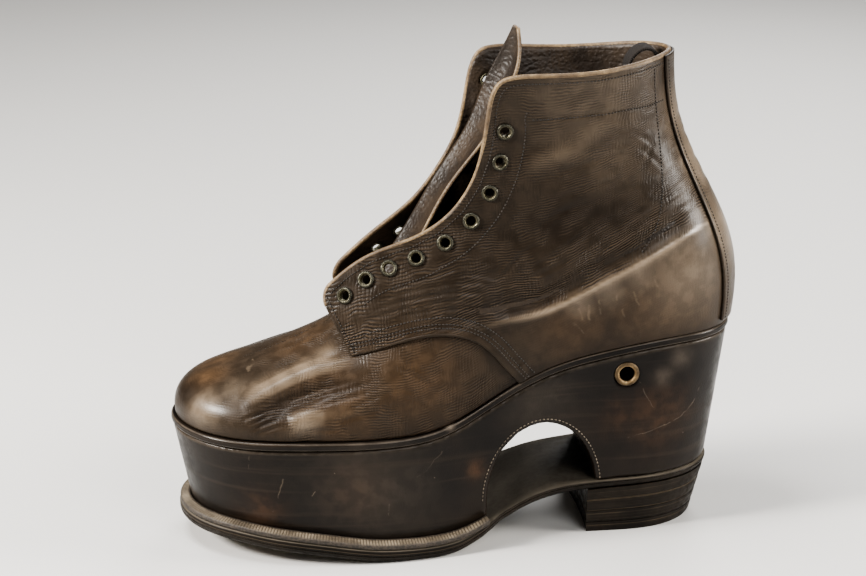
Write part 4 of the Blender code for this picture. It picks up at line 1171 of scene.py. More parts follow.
BACKSTAY_THICK = 1.3
BACKSTAY_START = 0.02
BACKSTAY_CREASES = (
    (0.20, 2.4, (-14, 0.50), (0, 0.53), (14, 0.50)),
    (0.20, 2.2, (-14, 0.58), (0, 0.60), (14, 0.58)),
    (0.18, 2.2, (-14, 0.66), (0, 0.69), (14, 0.66)),
    (0.15, 2.0, (-12, 0.76), (0, 0.77), (12, 0.76)),
)
STRIP_COLUMNS, STRIP_ROWS = 51, 181
STRIP_SEAM = 2.2                 # distance of the stitches from the strip's edge
strip_places = np.linspace(-BACKSTAY_HALF, BACKSTAY_HALF, STRIP_COLUMNS)
strip_shares = np.linspace(BACKSTAY_START, 1.0, STRIP_ROWS)
strip_lift = QUARTER_STEP + SEAT_GAP + BACKSTAY_THICK


def on_backstay(place, share):
    """Places on the backstay from its middle line and share of its height."""
    return on_quarter(strip_lift)(HEEL_ALONG + place, share)


strip_grid = np.array([on_backstay(np.full(STRIP_ROWS, place), strip_shares)
                       for place in strip_places])
strip_points = strip_grid.reshape(-1, 3)
strip_relief = crease_relief(strip_points, BACKSTAY_CREASES, on_backstay)
strip_flex = np.full(len(strip_points), 0.5)
# The strip's cut edge takes the dark lining finish: painted shade, standing for the shadow line along its
# step
backstay = make_piece("backstay_strip",
                      strip_points + grid_normals(strip_grid).reshape(-1, 3) * strip_relief[:, None],
                      grid_faces(STRIP_COLUMNS, STRIP_ROWS), upper_hide, lining_hide, lining_hide,
                      marks=hide_marks(strip_points, strip_relief, strip_flex, strip_points[:, 2]))
give_wall(backstay, BACKSTAY_THICK + 0.15)
finish_piece(backstay, "upper_leather", "backstay")
strip_surface = surface_of(backstay)
strip_rows = [on_backstay(np.full(SEAM_STEPS, place), np.linspace(0.03, 0.98, SEAM_STEPS))
              for place in (STRIP_SEAM - BACKSTAY_HALF, BACKSTAY_HALF - STRIP_SEAM)]
laid_rows = [laid_on(strip_surface, row, 0.05) for row in strip_rows]
sew("backstay_stitches", laid_rows, dark_thread, "upper_leather")

# Tongue
# A loose strip of unlined leather, sewn in at the throat, that leans to the inner side of the open facings.
# Its cut edges are pale, its back is dark with wear.

TONGUE_THICK = 1.8
TONGUE_BOW = 4.0
TONGUE_FULL = 20.0
TONGUE_RIPPLE = 0.5
TONGUE_STEPS, TONGUE_ACROSS = 181, 31
# From root to tip: inner edge x, y, z, then outer edge x, y, z
TONGUE_EDGES = np.array((
    (-58.0, 11.0, 106.5, -58.0, -11.0, 106.5),
    (-46.0, 9.0, 118.0, -44.0, -11.0, 118.5),
    (-32.0, 14.0, 137.5, -27.0, -11.0, 140.0),
    (-12.5, 17.0, 170.0, -9.0, -9.0, 173.0),
    (8.5, 18.0, 203.5, 14.0, -8.0, 205.0),
    (19.0, 17.0, 228.0, 27.0, -7.0, 229.0),
    (27.5, 12.0, 248.0, 32.5, -2.0, 246.0),
    (31.0, 8.5, 258.0, 32.5, 4.5, 257.0),
))


def tongue_material():
    """Grey-brown flesh-finished leather with long soft folds."""
    material, tree, shader, place = new_material("tongue_hide", 0.58, specular=0.12)
    blotch = use(tree, mottle, Vector=place, Scale=34.0)
    colour = blend(tree, blotch["Mask"], (0.012, 0.0088, 0.0060, 1), (0.027, 0.0200, 0.0138, 1))
    colour = blend(tree, times(tree, blotch["Fine"], 0.4), colour, (0.044, 0.032, 0.021, 1))
    feed(tree, shader, {"Base Color": colour})
    lines = use(tree, fine_creases, Vector=place, Pitch=0.0040)
    grain = use(tree, hide_grain, Vector=place, Cells=800.0)
    height = times(tree, lines["Groove"], -1.0, grain["Height"])
    bumped(tree, shader, height, 0.25, 0.00025)
    return material


def tongue_grid():
    """Bowed strip between the tongue's two edges, a little rippled along them."""
    along = run_lengths((TONGUE_EDGES[:, :3] + TONGUE_EDGES[:, 3:]) / 2)
    edges = curve_through(along, TONGUE_EDGES)
    share = np.linspace(0.0, 1.0, TONGUE_ACROSS)[:, None]
    grid = []
    for place in np.linspace(0.0, along[-1], TONGUE_STEPS):
        inner, outer = edges(place)[0, :3], edges(place)[0, 3:]
        run = (edges(place + 1) - edges(place - 1))[0]
        front = unit(np.cross(run[:3] + run[3:], outer - inner))
        wide = np.linalg.norm(outer - inner)
        bow = TONGUE_BOW * min(1.0, wide / TONGUE_FULL) * 4 * share * (1 - share)
        ripple = TONGUE_RIPPLE * math.sin(place / 9.0) * (2 * share - 1) ** 2
        grid.append(inner + (outer - inner) * share + front * (bow + ripple))
    return np.array(grid)


tongue = make_piece("tongue_strip", tongue_grid(), grid_faces(TONGUE_STEPS, TONGUE_ACROSS),
                    tongue_material(), lining_hide, edge_binding)
give_wall(tongue, TONGUE_THICK, offset=0.0)
finish_piece(tongue, "tongue_leather", "tongue")

# Pull loop
# A doubled end of dark cotton webbing, woven in ribs, to draw the boot on by.
# It is sewn inside the back of the collar.

LOOP_WIDE = 11.0
LOOP_THICK = 1.4
LOOP_PATH = np.array((           # x, height
    (104.4, 224.0), (103.6, 234.0), (100.9, 243.0), (95.5, 247.0), (88.5, 243.5), (86.0, 236.5),
    (91.5, 226.5), (99.5, 217.0), (106.4, 210.0),
))
LOOP_STEPS, LOOP_ACROSS = 121, 23
WEBBING_RIBS = 1.1               # pitch of the ribs along it
WEBBING_YARNS = 0.9              # pitch of the yarns across it


def webbing_material():
    """Ribbed cotton webbing: yarns over and under across it, in two browns."""
    material, tree, shader, place = new_material("webbing", 0.85, specular=0.2)
    rib = maths(tree, "SINE", times(tree, read_mark(tree, "along"), 2 * math.pi / WEBBING_RIBS))
    yarn = maths(tree, "SINE", times(tree, read_mark(tree, "across"), 2 * math.pi / WEBBING_YARNS))
    weave = times(tree, times(tree, rib, yarn), 0.5, 0.5)
    blotch = use(tree, mottle, Vector=place, Scale=90.0)
    colour = blend(tree, weave, (0.008, 0.007, 0.0065, 1), (0.034, 0.029, 0.026, 1))
    colour = blend(tree, times(tree, blotch["Mask"], 0.4), colour, (0.022, 0.016, 0.012, 1))
    feed(tree, shader, {"Base Color": colour})
    bumped(tree, shader, weave, 0.8, 0.0004)
    return material


loop_along = run_lengths(LOOP_PATH)
loop_places = np.linspace(0.0, loop_along[-1], LOOP_STEPS)
loop_line = curve_through(loop_along, LOOP_PATH)(loop_places)
loop_across = np.linspace(-LOOP_WIDE / 2, LOOP_WIDE / 2, LOOP_ACROSS)
loop_grid = [[(x, y, z) for y in loop_across] for x, z in loop_line]
loop_marks = {"along": np.repeat(loop_places, LOOP_ACROSS), "across": np.tile(loop_across, LOOP_STEPS)}
pull_loop = make_piece("pull_loop_webbing", loop_grid, grid_faces(LOOP_STEPS, LOOP_ACROSS),
                       webbing_material(), marks=loop_marks)
give_wall(pull_loop, LOOP_THICK, inner=0, rim=0, offset=0.0)
finish_piece(pull_loop, "loop_webbing", "pull_loop")

# Eyelets
# Japanned metal eyelets, nine on each facing, set through leather and lining and rolled over inside.
# The paint has worn to dull brass at their throats.

EYELET_SIDES = 28
# Section of an eyelet: radius, height over the leather, share of bare brass
EYELET_SECTION = (
    (4.2, 0.05, 0.1), (4.2, 0.45, 0.15), (3.95, 0.85, 0.1), (3.5, 1.1, 0.2), (3.15, 1.12, 0.25),
    (2.85, 0.95, 0.5), (2.6, 0.55, 0.9), (2.4, 0.1, 1.0), (2.25, -0.8, 0.7), (2.25, -2.6, 0.4),
    (2.5, -3.0, 0.5), (3.1, -3.15, 0.7), (3.6, -2.9, 0.4), (3.3, -2.6, 0.1), (2.7, -2.5, 0.0),
    (2.7, 0.0, 0.0),
)


def turned(middle, axis, profile, sides):
    """Rings of points turned about an axis from a profile of radius and height."""
    across = unit(np.cross(axis, (0.0, 0.0, 1.0) if abs(axis[2]) < 0.9 else (1.0, 0.0, 0.0)))
    other = np.cross(axis, across)
    angles = np.arange(sides) * 2 * math.pi / sides
    spokes = np.cos(angles)[:, None] * across + np.sin(angles)[:, None] * other
    return np.array([[middle + spoke * radius + axis * height for radius, height in profile]
                     for spoke in spokes])


def eyelet_material():
    """Black japanned metal, worn to dull greenish brass at the throat."""
    material, tree, shader, place = new_material("japanned_metal", 0.38, metallic=0.9)
    blotch = use(tree, mottle, Vector=place, Scale=260.0)
    bare = times(tree, read_mark(tree, "bare"), times(tree, blotch["Fine"], 0.6, 0.6), clamp=True)
    colour = blend(tree, blotch["Mask"], (0.018, 0.018, 0.016, 1), (0.052, 0.051, 0.043, 1))
    colour = blend(tree, bare, colour, (0.20, 0.180, 0.115, 1))
    feed(tree, shader, {"Base Color": colour, "Roughness": times(tree, blotch["Fine"], 0.25, 0.28)})
    bumped(tree, shader, blotch["Fine"], 0.3, 0.0002)
    return material


def set_eyelets_tree():
    """One eyelet set at every point of a mesh, along that point's axis."""
    tree, given, out = new_tree("set_eyelets", Eyelet="Object", Metal="Material")
    pattern = add(tree, "GeometryNodeObjectInfo", {"Object": given["Eyelet"]})
    axis = add(tree, "GeometryNodeInputNamedAttribute", {"Name": "axis"}, data_type="FLOAT_VECTOR")
    turn = add(tree, "FunctionNodeAlignRotationToVector", {"Vector": axis.outputs["Attribute"]}, axis="Z")
    placed = add(tree, "GeometryNodeInstanceOnPoints", {"Points": given["Geometry"],
                                                        "Instance": pattern.outputs["Geometry"],
                                                        "Rotation": turn.outputs[0]})
    real = add(tree, "GeometryNodeRealizeInstances", {"Geometry": placed.outputs[0]})
    metal = add(tree, "GeometryNodeSetMaterial", {"Geometry": real.outputs[0], "Material": given["Metal"]})
    feed(tree, out, {"Geometry": metal.outputs[0]})
    return tree


section = np.array(EYELET_SECTION)
eyelet_rings = turned(CENTRE, np.array((0.0, 0.0, 1.0)), section[:, :2], EYELET_SIDES)
eyelet_pattern = make_piece("eyelet_pattern", eyelet_rings,
                            grid_faces(EYELET_SIDES, len(section), wrap=True, closed=True), closed=True,
                            marks={"bare": np.tile(section[:, 2], EYELET_SIDES)})
eyelet_mesh = bpy.data.meshes.new("eyelets")
eyelet_mesh.from_pydata([(middle - CENTRE) * MM for middle, _ in seats], [], [])
axes = eyelet_mesh.attributes.new("axis", "FLOAT_VECTOR", "POINT")
axes.data.foreach_set("vector", np.array([axis for _, axis in seats], np.float32).ravel())
eyelets = new_object("eyelets", eyelet_mesh)
run_tree(eyelets, set_eyelets_tree(), {"Eyelet": eyelet_pattern, "Metal": eyelet_material()})
bpy.data.objects.remove(eyelet_pattern)
finish_piece(eyelets, "eyelet_metal", *[f"eyelet_{side}_{number}" for side in ("lateral", "medial")
                                        for number in range(1, EYELETS + 1)])

# Insole
# A board of oak-tanned leather that the foot stands on, dished by the heel and the ball.
# It lies inside the lasted edge of the upper.

INSOLE_THICK = 2.8
INSOLE_INSET = WALL + 3 * SEAT_GAP
HEEL_DISH = 0.7
INSOLE_ROWS, INSOLE_ACROSS = 201, 31
# Dishes pressed by heel, ball and toes: x, y, length, width
FOOT_PRINTS = ((98.0, 0.0, 24.0, 18.0), (-62.0, 0.0, 30.0, 26.0), (-108.0, 4.0, 18.0, 20.0))


def grown(plan, signed_row, distance):
    """Outline points moved outwards by a distance."""
    return plan(signed_row) + outward(plan, signed_row) * np.reshape(distance, (-1, 1))


def insole_material():
    """Worn insole leather, darkest where heel and ball have pressed it."""
    material, tree, shader, place = new_material("insole_hide", 0.7)
    blotch = use(tree, mottle, Vector=place, Scale=30.0)
    colour = blend(tree, blotch["Mask"], (0.060, 0.038, 0.023, 1), (0.165, 0.105, 0.062, 1))
    colour = blend(tree, read_mark(tree, "pressed"), colour, (0.030, 0.020, 0.014, 1))
    feed(tree, shader, {"Base Color": colour})
    grain = use(tree, hide_grain, Vector=place, Cells=500.0)
    bumped(tree, shader, grain["Height"], 0.5, 0.0003)
    return material


insole_rows = np.linspace(0.0, LAST_ROW, INSOLE_ROWS)
insole_outer = grown(foot_plan, -insole_rows, -INSOLE_INSET)
insole_inner = grown(foot_plan, insole_rows, -INSOLE_INSET)
insole_share = np.linspace(0.0, 1.0, INSOLE_ACROSS)[None, :, None]
insole_plan = insole_inner[:, None] + (insole_outer - insole_inner)[:, None] * insole_share
insole_plan = insole_plan.reshape(-1, 2)
pressed = np.zeros(len(insole_plan))
for x, y, long, wide in FOOT_PRINTS:
    pressed += bell(insole_plan[:, 0], x, long) * bell(insole_plan[:, 1], y, wide)
insole_height = feather_height(insole_plan[:, 0]) + SEAT_GAP + INSOLE_THICK - HEEL_DISH * pressed
insole = make_piece("insole_board", with_height(insole_plan, insole_height),
                    grid_faces(INSOLE_ROWS, INSOLE_ACROSS), insole_material(),
                    marks={"pressed": 0.7 * np.clip(pressed, 0.0, 1.0)})
give_wall(insole, INSOLE_THICK - HEEL_DISH, inner=0, rim=0)
finish_piece(insole, "insole_leather", "insole")

# Rand
# A narrow strip of black leather between upper and platform, rounded on its edge and run with a wheel.
# It is sewn to the lasted edge of the upper and covers that seam.

RAND_THICK = 4.0
RAND_PROUD = 2.2
RAND_ROUND = 1.5
RAND_REACH = 9.0
RAND_GROOVE = 0.35               # line pressed along its middle
RING_STEPS = 420
RING_SAMPLES = 4001


def ring_rows(steps):
    """Signed plan rows of one ring, spaced evenly: toe tip, outer side, heel, inner side."""
    dense = -np.linspace(0.0, 2 * LAST_ROW, RING_SAMPLES)
    lengths = run_lengths(foot_plan(dense))
    rows = np.interp(np.arange(steps) * lengths[-1] / steps, lengths, dense)
    return np.where(rows < -LAST_ROW, rows + 2 * LAST_ROW, rows)


def ring_at(plan, rows, distance, height_line, lift):
    """Ring of a plan moved outwards, at a height line plus a lift."""
    points = grown(plan, rows, distance)
    return with_height(points, height_line(points[:, 0]) + lift)


# Scratches of the platform: from x and height, to x and height, strength
PLATFORM_SCRATCHES = (
    (123.7, 77.0, 120.0, 67.8, 0.20), (120.0, 67.8, 114.0, 62.3, 0.25), (114.0, 62.3, 104.2, 58.1, 0.25),
    (104.2, 58.1, 92.9, 54.8, 0.22), (92.9, 54.8, 85.4, 53.9, 0.18), (90.0, 83.8, 94.1, 75.3, 0.20),
    (94.1, 75.3, 97.9, 68.9, 0.16), (-89.4, 46.3, -92.0, 37.0, 0.25), (-92.0, 37.0, -95.3, 26.7, 0.18),
    (-74.2, 39.8, -76.2, 37.1, 0.40), (-38.0, 31.0, -38.5, 23.6, 0.15), (-11.0, 57.2, -19.3, 47.9, 0.14),
    (-19.3, 47.9, -24.0, 44.6, 0.10), (-106.1, 60.0, -106.8, 50.4, 0.12), (114.9, 51.9, 115.1, 51.5, 0.9),
    (-65.2, 50.2, -65.0, 50.0, 0.7), (-15.1, 42.8, -14.9, 42.6, 0.5),
)
# Patches of platform and rand: kind, x, y, z, radius, strength
PLATFORM_PATCHES = (
    ("warm", 6.1, -40.5, 44.0, 5.0, 0.5),
    ("warm", 100.0, -33.0, 64.0, 16.0, 0.35),
    ("warm", 84.0, -33.0, 66.0, 12.0, 0.30),
    ("warm", -100.0, -37.0, 28.0, 10.0, 0.35),
    ("warm", -55.0, -46.0, 38.0, 14.0, 0.20),
    ("warm", 60.0, 34.0, 80.0, 18.0, 0.35),
    ("warm", -60.0, 42.0, 40.0, 18.0, 0.35),
    # rubbed patches: scuffed real wear, with a painted sheen in the broad ones on the outer wall
    ("rubbed", 102.3, -33.0, 85.9, 5.0, 0.35),
    ("rubbed", 111.0, -31.8, 95.2, 6.0, 0.35),
    ("rubbed", -46.0, -47.0, 40.0, 30.0, 0.22),
    ("rubbed", -7.6, -45.3, 70.2, 2.0, 0.9),
    ("rubbed", 39.0, -36.0, 78.0, 16.0, 0.20),
    ("grime", -60.0, -46.0, 16.0, 16.0, 0.5),
    ("grime", 36.0, -36.0, 68.0, 10.0, 0.4),
)


def platform_hide_material():
    """Smooth black-brown leather, brushed lengthwise, with brown wear, pale wear under a painted sheen, and
    pale scratches.
    """
    material, tree, shader, place = new_material("platform_hide", 0.36, coat=0.18, coat_roughness=0.24,
                                                 specular=0.08)
    blotch = use(tree, mottle, Vector=place, Scale=15.0)
    fine = blotch["Fine"]
    colour = blend(tree, blotch["Mask"], (0.0042, 0.0031, 0.0025, 1), (0.0130, 0.0092, 0.0064, 1))
    warm = times(tree, read_mark(tree, "warm"), times(tree, fine, 0.6, 0.4))
    colour = blend(tree, warm, colour, (0.100, 0.050, 0.025, 1))
    rubbed = times(tree, read_mark(tree, "rubbed"), times(tree, fine, 0.3, 0.6))
    # Pale grey-brown from rubbed: real wear with a painted sheen
    colour = blend(tree, rubbed, colour, (0.150, 0.122, 0.094, 1))
    colour = blend(tree, times(tree, read_mark(tree, "grime"), 0.6), colour, (0.006, 0.005, 0.0045, 1))
    drawn = vector_maths(tree, "MULTIPLY", place, (12.0, 12.0, 300.0))
    stroke = smooth_range(tree, noise(tree, drawn, 1.0, 3.0)["Fac"], 0.5, 0.75)
    colour = blend(tree, times(tree, stroke, 0.22), colour, (0.048, 0.034, 0.023, 1))
    colour = add_scratches(tree, place, colour, PLATFORM_SCRATCHES, (0.24, 0.190, 0.135, 1), width=0.0004)
    feed(tree, shader, {"Base Color": colour, "Roughness": times(tree, fine, 0.16, 0.28)})
    grain = use(tree, hide_grain, Vector=place, Cells=1400.0)
    bumped(tree, shader, times(tree, stroke, -0.5, grain["Height"]), 0.25, 0.00012)
    return material


platform_hide = platform_hide_material()
rand_round = np.radians(np.linspace(90.0, -90.0, 13))
rand_profile = [(-RAND_REACH, 0.0)]
rand_profile += [(RAND_PROUD - RAND_ROUND * (1 - math.cos(a)), RAND_THICK / 2 * (math.sin(a) - 1))
                 for a in rand_round]
rand_profile.append((-RAND_REACH, -RAND_THICK))
rand_middle = 1 + len(rand_round) // 2
rand_profile[rand_middle] = (RAND_PROUD - RAND_GROOVE, -RAND_THICK / 2)
rand_rows = ring_rows(RING_STEPS)
rand_rings = [ring_at(foot_plan, rand_rows, distance, feather_height, lift)
              for distance, lift in rand_profile]
rand_points = np.stack(rand_rings, axis=1).reshape(-1, 3)
rand_edges = np.zeros(len(rand_profile))
# Pale lines along the rand's rounded upper and lower edges: edge wear with a painted highlight
rand_edges[[rand_middle + step for step in (-4, -3, 3, 4)]] = 0.45
rand_marks = patch_marks(rand_points, PLATFORM_PATCHES)
rand_marks["rubbed"] = np.maximum(rand_marks["rubbed"], np.tile(rand_edges, RING_STEPS))
rand = make_piece("rand_strip", rand_points,
                  grid_faces(RING_STEPS, len(rand_profile), wrap=True, closed=True), platform_hide,
                  closed=True, marks=rand_marks)
finish_piece(rand, "platform_leather", "rand")

# Platform
# The raise that evens out a short leg: a cork block covered in black leather, with an arch cut through
# its waist and a cross bore for a leg brace. Its cover is turned in and stitched round the arch.

PLATFORM_PROUD = 1.4
PLATFORM_COLUMNS, PLATFORM_LEVELS = 280, 14
PLATFORM_VOXEL = 1.25
ARCH_MIDDLE = 41.0
ARCH_HALF = 28.3
ARCH_SPRING = 26.0
ARCH_TOP = 64.0
ARCH_ROW = 2.6                   # distance of the stitches from the arch's edge
CUT_HALF = 70.0
SOCKET_X = 83.3
SOCKET_Z = 88.5
SOCKET_BORE = 3.65
SOCKET_OUTER = 5.4
# Plan of the platform on the outsole, row for row with the foot plan
TREAD_PLAN = (
    (-133.5, 3.0, 3.0), (-125.0, -18.5, 26.0), (-108.0, -31.5, 37.0), (-82.0, -40.5, 41.0),
    (-50.0, -44.5, 38.5), (-15.0, -42.0, 33.0), (20.0, -35.5, 28.0), (62.0, -31.0, 28.5),
    (100.0, -30.5, 30.0), (123.0, -20.0, 20.0), (133.0, 0.0, 0.0),
)
# Outsole along the boot: x, height of its top, thickness
SOLE_LINE = (
    (-140.0, 17.0, 6.0), (-117.0, 16.2, 6.2), (-93.0, 13.6, 6.5), (-68.0, 10.8, 6.5), (-45.0, 7.5, 6.5),
    (-28.0, 6.5, 6.5), (-14.0, 6.5, 6.5), (2.0, 9.2, 6.0), (13.0, 13.8, 5.4), (34.0, 23.5, 5.0),
    (50.0, 27.5, 4.8), (66.0, 29.0, 4.4), (135.0, 31.0, 4.4),
)
tread_plan = plan_curve(TREAD_PLAN)
sole_line = curve_of(SOLE_LINE)


def sole_top_height(x):
    """Top of the outsole."""
    return sole_line(x)[:, 0]


def stacked_faces(count, levels):
    """Faces of rings stacked top to bottom, with a flat face on either end."""
    faces = [tuple(reversed(face)) for face in grid_faces(count, levels, wrap=True)]
    faces.append(tuple(range(0, count * levels, levels)))
    faces.append(tuple(range(levels - 1, count * levels, levels)))
    return faces


def strip_capped_faces(count, levels):
    """Faces of rings stacked top to bottom, closed by strips from the outer to the inner side."""
    faces = grid_faces(count, levels, wrap=True)
    half = count // 2
    for level in (0, levels - 1):
        at = [k * levels + level for k in range(count)]
        faces.append((at[0], at[1], at[-1]))
        faces += [(at[k], at[k + 1], at[count - k - 1], at[count - k]) for k in range(1, half - 1)]
        faces.append((at[half - 1], at[half], at[half + 1]))
    return faces


def arch_outline(grow, steps):
    """Outline of the arch in x and height, grown by a distance, from its front leg to its back one."""
    angles = np.linspace(math.pi, 0.0, steps)
    xs = ARCH_MIDDLE + (ARCH_HALF + grow) * np.cos(angles)
    return np.column_stack([xs, ARCH_SPRING + (ARCH_TOP + grow - ARCH_SPRING) * np.sin(angles)])


def cut_by(obj, name, outline):
    """Cuts a prism across the boot, with an outline in x and height, out of a piece."""
    sides = [[(x, y, z) for y in (-CUT_HALF, CUT_HALF)] for x, z in outline]
    tool = make_piece(name, sides, stacked_faces(len(outline), 2), closed=True)
    cut = obj.modifiers.new(name, "BOOLEAN")
    cut.operation = "DIFFERENCE"
    cut.solver = "EXACT"
    cut.object = tool
    return tool


platform_rows = ring_rows(PLATFORM_COLUMNS)
under_rand = -(RAND_THICK + SEAT_GAP)
platform_boss = -(RAND_REACH + SEAT_GAP)
platform_top = ring_at(foot_plan, platform_rows, PLATFORM_PROUD, feather_height, under_rand)
platform_foot = ring_at(tread_plan, platform_rows, 0.0, sole_top_height, SEAT_GAP)
platform_rings = [ring_at(foot_plan, platform_rows, platform_boss, feather_height, -SEAT_GAP),
                  ring_at(foot_plan, platform_rows, platform_boss, feather_height, under_rand)]
platform_rings += [platform_top + (platform_foot - platform_top) * share
                   for share in np.linspace(0.0, 1.0, PLATFORM_LEVELS)]
platform = make_piece("platform_cover", np.stack(platform_rings, axis=1),
                      strip_capped_faces(PLATFORM_COLUMNS, len(platform_rings)), closed=True)
arch_form = np.vstack([(ARCH_MIDDLE - ARCH_HALF, -10.0), arch_outline(0.0, 73),
                       (ARCH_MIDDLE + ARCH_HALF, -10.0)])
bore_angles = np.linspace(0.0, 2 * math.pi, 48, endpoint=False)
bore_form = np.column_stack([SOCKET_X + (SOCKET_OUTER + SEAT_GAP) * np.cos(bore_angles),
                             SOCKET_Z + (SOCKET_OUTER + SEAT_GAP) * np.sin(bore_angles)])
cutters = [cut_by(platform, "arch_cut", arch_form), cut_by(platform, "bore_cut", bore_form)]
cover = platform.modifiers.new("cover", "REMESH")
cover.mode = "VOXEL"
cover.voxel_size = PLATFORM_VOXEL * MM
cover.use_smooth_shade = True
rounded = platform.modifiers.new("rounded", "SMOOTH")
rounded.factor = 0.5
rounded.iterations = 8
as_plain_mesh(platform)
for cutter in cutters:
    bpy.data.objects.remove(cutter)
platform.data.materials.clear()
platform.data.materials.append(platform_hide)
platform_points = points_of(platform)
platform_marks = patch_marks(platform_points, PLATFORM_PATCHES)
over_top = platform_points[:, 2] - feather_height(platform_points[:, 0]) - under_rand
# Pale band along the platform's top edge under the rand: edge wear with a painted highlight
platform_marks["rubbed"] = np.maximum(platform_marks["rubbed"], 0.4 * bell(over_top, -0.9, 0.9))
for kind, amount in platform_marks.items():
    mark(platform.data, kind, amount)
finish_piece(platform, "platform_leather", "platform")

pale_thread = thread_material("pale_thread", (0.075, 0.058, 0.040, 1), (0.22, 0.18, 0.13, 1))
platform_surface = surface_of(platform)
arch_rows = []
for y, way in ((-CUT_HALF, 1.0), (CUT_HALF, -1.0)):
    row = []
    for x, z in arch_outline(ARCH_ROW, 140):
        eye = Vector((np.array((x, y, z)) - CENTRE) * MM)
        spot, normal, _, _ = platform_surface.ray_cast(eye, (0.0, way, 0.0))
        if spot is not None and z > sole_top_height(x)[0] + 2.0:
            row.append(np.array(spot + normal * 0.05 * MM) / MM + CENTRE)
    arch_rows.append(np.array(row))
sew("arch_stitches", arch_rows, pale_thread, "platform_leather", pitch=2.1, long=1.5, thick=0.6)

# Brace socket
# A brass tube across the heel that takes the spur of a leg brace.
# It is driven through the platform's bore and flared over at both ends.

SOCKET_FLARE = 6.3
SOCKET_SIDES = 64
# Section of one end, which the other mirrors: radius, distance from the boot's middle, brightness
SOCKET_SECTION = (
    (SOCKET_OUTER, 33.4, 0.0), (SOCKET_FLARE, 33.8, 0.1), (SOCKET_FLARE, 34.3, 0.25), (5.9, 34.75, 0.30),
    (5.0, 34.95, 0.45), (4.4, 34.8, 1.0), (3.9, 34.2, 0.8), (SOCKET_BORE, 33.0, 0.0),
)


def socket_material():
    """Dull tan brass, bright on its lip and black inside."""
    material, tree, shader, place = new_material("socket_metal", 0.45, metallic=0.75)
    blotch = use(tree, mottle, Vector=place, Scale=220.0)
    colour = blend(tree, blotch["Mask"], (0.16, 0.104, 0.050, 1), (0.38, 0.270, 0.145, 1))
    colour = blend(tree, times(tree, blotch["Fine"], 0.4), colour, (0.055, 0.036, 0.020, 1))
    colour = blend(tree, read_mark(tree, "bright"), (0.022, 0.0160, 0.0105, 1), colour)
    feed(tree, shader, {"Base Color": colour})
    bumped(tree, shader, blotch["Fine"], 0.35, 0.0002)
    return material


socket_far_end = [(radius, -far, bright) for radius, far, bright in SOCKET_SECTION[::-1]]
socket_profile = np.array(socket_far_end + list(SOCKET_SECTION))
socket_rings = turned(np.array((SOCKET_X, 0.0, SOCKET_Z)), np.array((0.0, 1.0, 0.0)), socket_profile[:, :2],
                      SOCKET_SIDES)
socket = make_piece("brace_socket", socket_rings,
                    grid_faces(SOCKET_SIDES, len(socket_profile), wrap=True, closed=True), socket_material(),
                    closed=True, marks={"bright": np.tile(socket_profile[:, 2], SOCKET_SIDES)})
finish_piece(socket, "socket_brass", "socket_tube")

# Welt
# A strip of leather round the forepart, sewn to the sole. Its top is ribbed with a hot wheel over
# cream thread, and its edge is blacked.

WELT_WIDE = 6.2
WELT_THICK = 4.0
WELT_LIP = 2.8
WELT_LAST_ROW = 5.77
WELT_RIB = 1.55
WELT_RIB_HIGH = 0.38
WELT_COLUMNS = 1500
WELT_SAMPLES = 3001
# Section of the welt: share of its width, lift over a straight top, cream; on the wall beside the
# platform, at share 0, the lift is a share of the welt's thickness
WELT_SECTION = (
    (0.0, -1.0, 0.0), (0.0, -0.25, 0.0), (0.06, 0.0, 0.0), (0.20, 0.0, 0.1), (0.32, 0.05, 1.0),
    (0.55, 0.08, 1.0), (0.78, 0.05, 1.0), (0.90, -0.05, 0.6), (1.0, -0.5, 0.0), (1.0, -1.6, 0.0),
    (0.985, -2.6, 0.0), (0.9, -2.8, 0.0),
)


def welt_material():
    """Cream thread and wheeled leather on top, blacked leather on the edge."""
    material, tree, shader, place = new_material("welt_hide", 0.6)
    blotch = use(tree, mottle, Vector=place, Scale=90.0)
    cream = blend(tree, blotch["Mask"], (0.075, 0.058, 0.038, 1), (0.205, 0.166, 0.116, 1))
    between = smooth_range(tree, read_mark(tree, "rib"), 0.75, 0.25, 0.0, 0.9)
    cream = blend(tree, between, cream, (0.052, 0.037, 0.023, 1))
    edge = blend(tree, blotch["Fine"], (0.018, 0.0135, 0.0095, 1), (0.048, 0.036, 0.025, 1))
    feed(tree, shader, {"Base Color": blend(tree, read_mark(tree, "cream"), edge, cream)})
    bumped(tree, shader, blotch["Fine"], 0.3, 0.0003)
    return material


welt_dense = np.linspace(-WELT_LAST_ROW, WELT_LAST_ROW, WELT_SAMPLES)
welt_run = run_lengths(grown(tread_plan, welt_dense, WELT_WIDE))
welt_along = np.linspace(0.0, welt_run[-1], WELT_COLUMNS)
welt_rows = np.interp(welt_along, welt_run, welt_dense)
rib = np.abs(np.sin(math.pi * welt_along / WELT_RIB))
welt_edges = []
for share, lift, cream in WELT_SECTION:
    reach = 2.5 * SEAT_GAP + share * (WELT_WIDE - 2.5 * SEAT_GAP)
    plan = grown(tread_plan, welt_rows, reach)
    top = WELT_THICK + share * (WELT_LIP - WELT_THICK)
    lifts = top * (1 + lift) if share == 0.0 else top + lift + (rib - 1) * WELT_RIB_HIGH * cream
    welt_edges.append(with_height(plan, sole_top_height(plan[:, 0]) + SEAT_GAP + np.maximum(lifts, 0.0)))
welt_corners = len(WELT_SECTION)
welt_faces = grid_faces(WELT_COLUMNS, welt_corners, closed=True)
welt_faces += [tuple(range(column * welt_corners, (column + 1) * welt_corners))
               for column in (0, WELT_COLUMNS - 1)]
welt_marks = {"rib": np.repeat(rib, welt_corners),
              "cream": np.tile([row[2] for row in WELT_SECTION], WELT_COLUMNS)}
welt = make_piece("welt_strip", np.stack(welt_edges, axis=1), welt_faces, welt_material(), closed=True,
                  marks=welt_marks)
finish_piece(welt, "welt_leather", "forepart_welt")

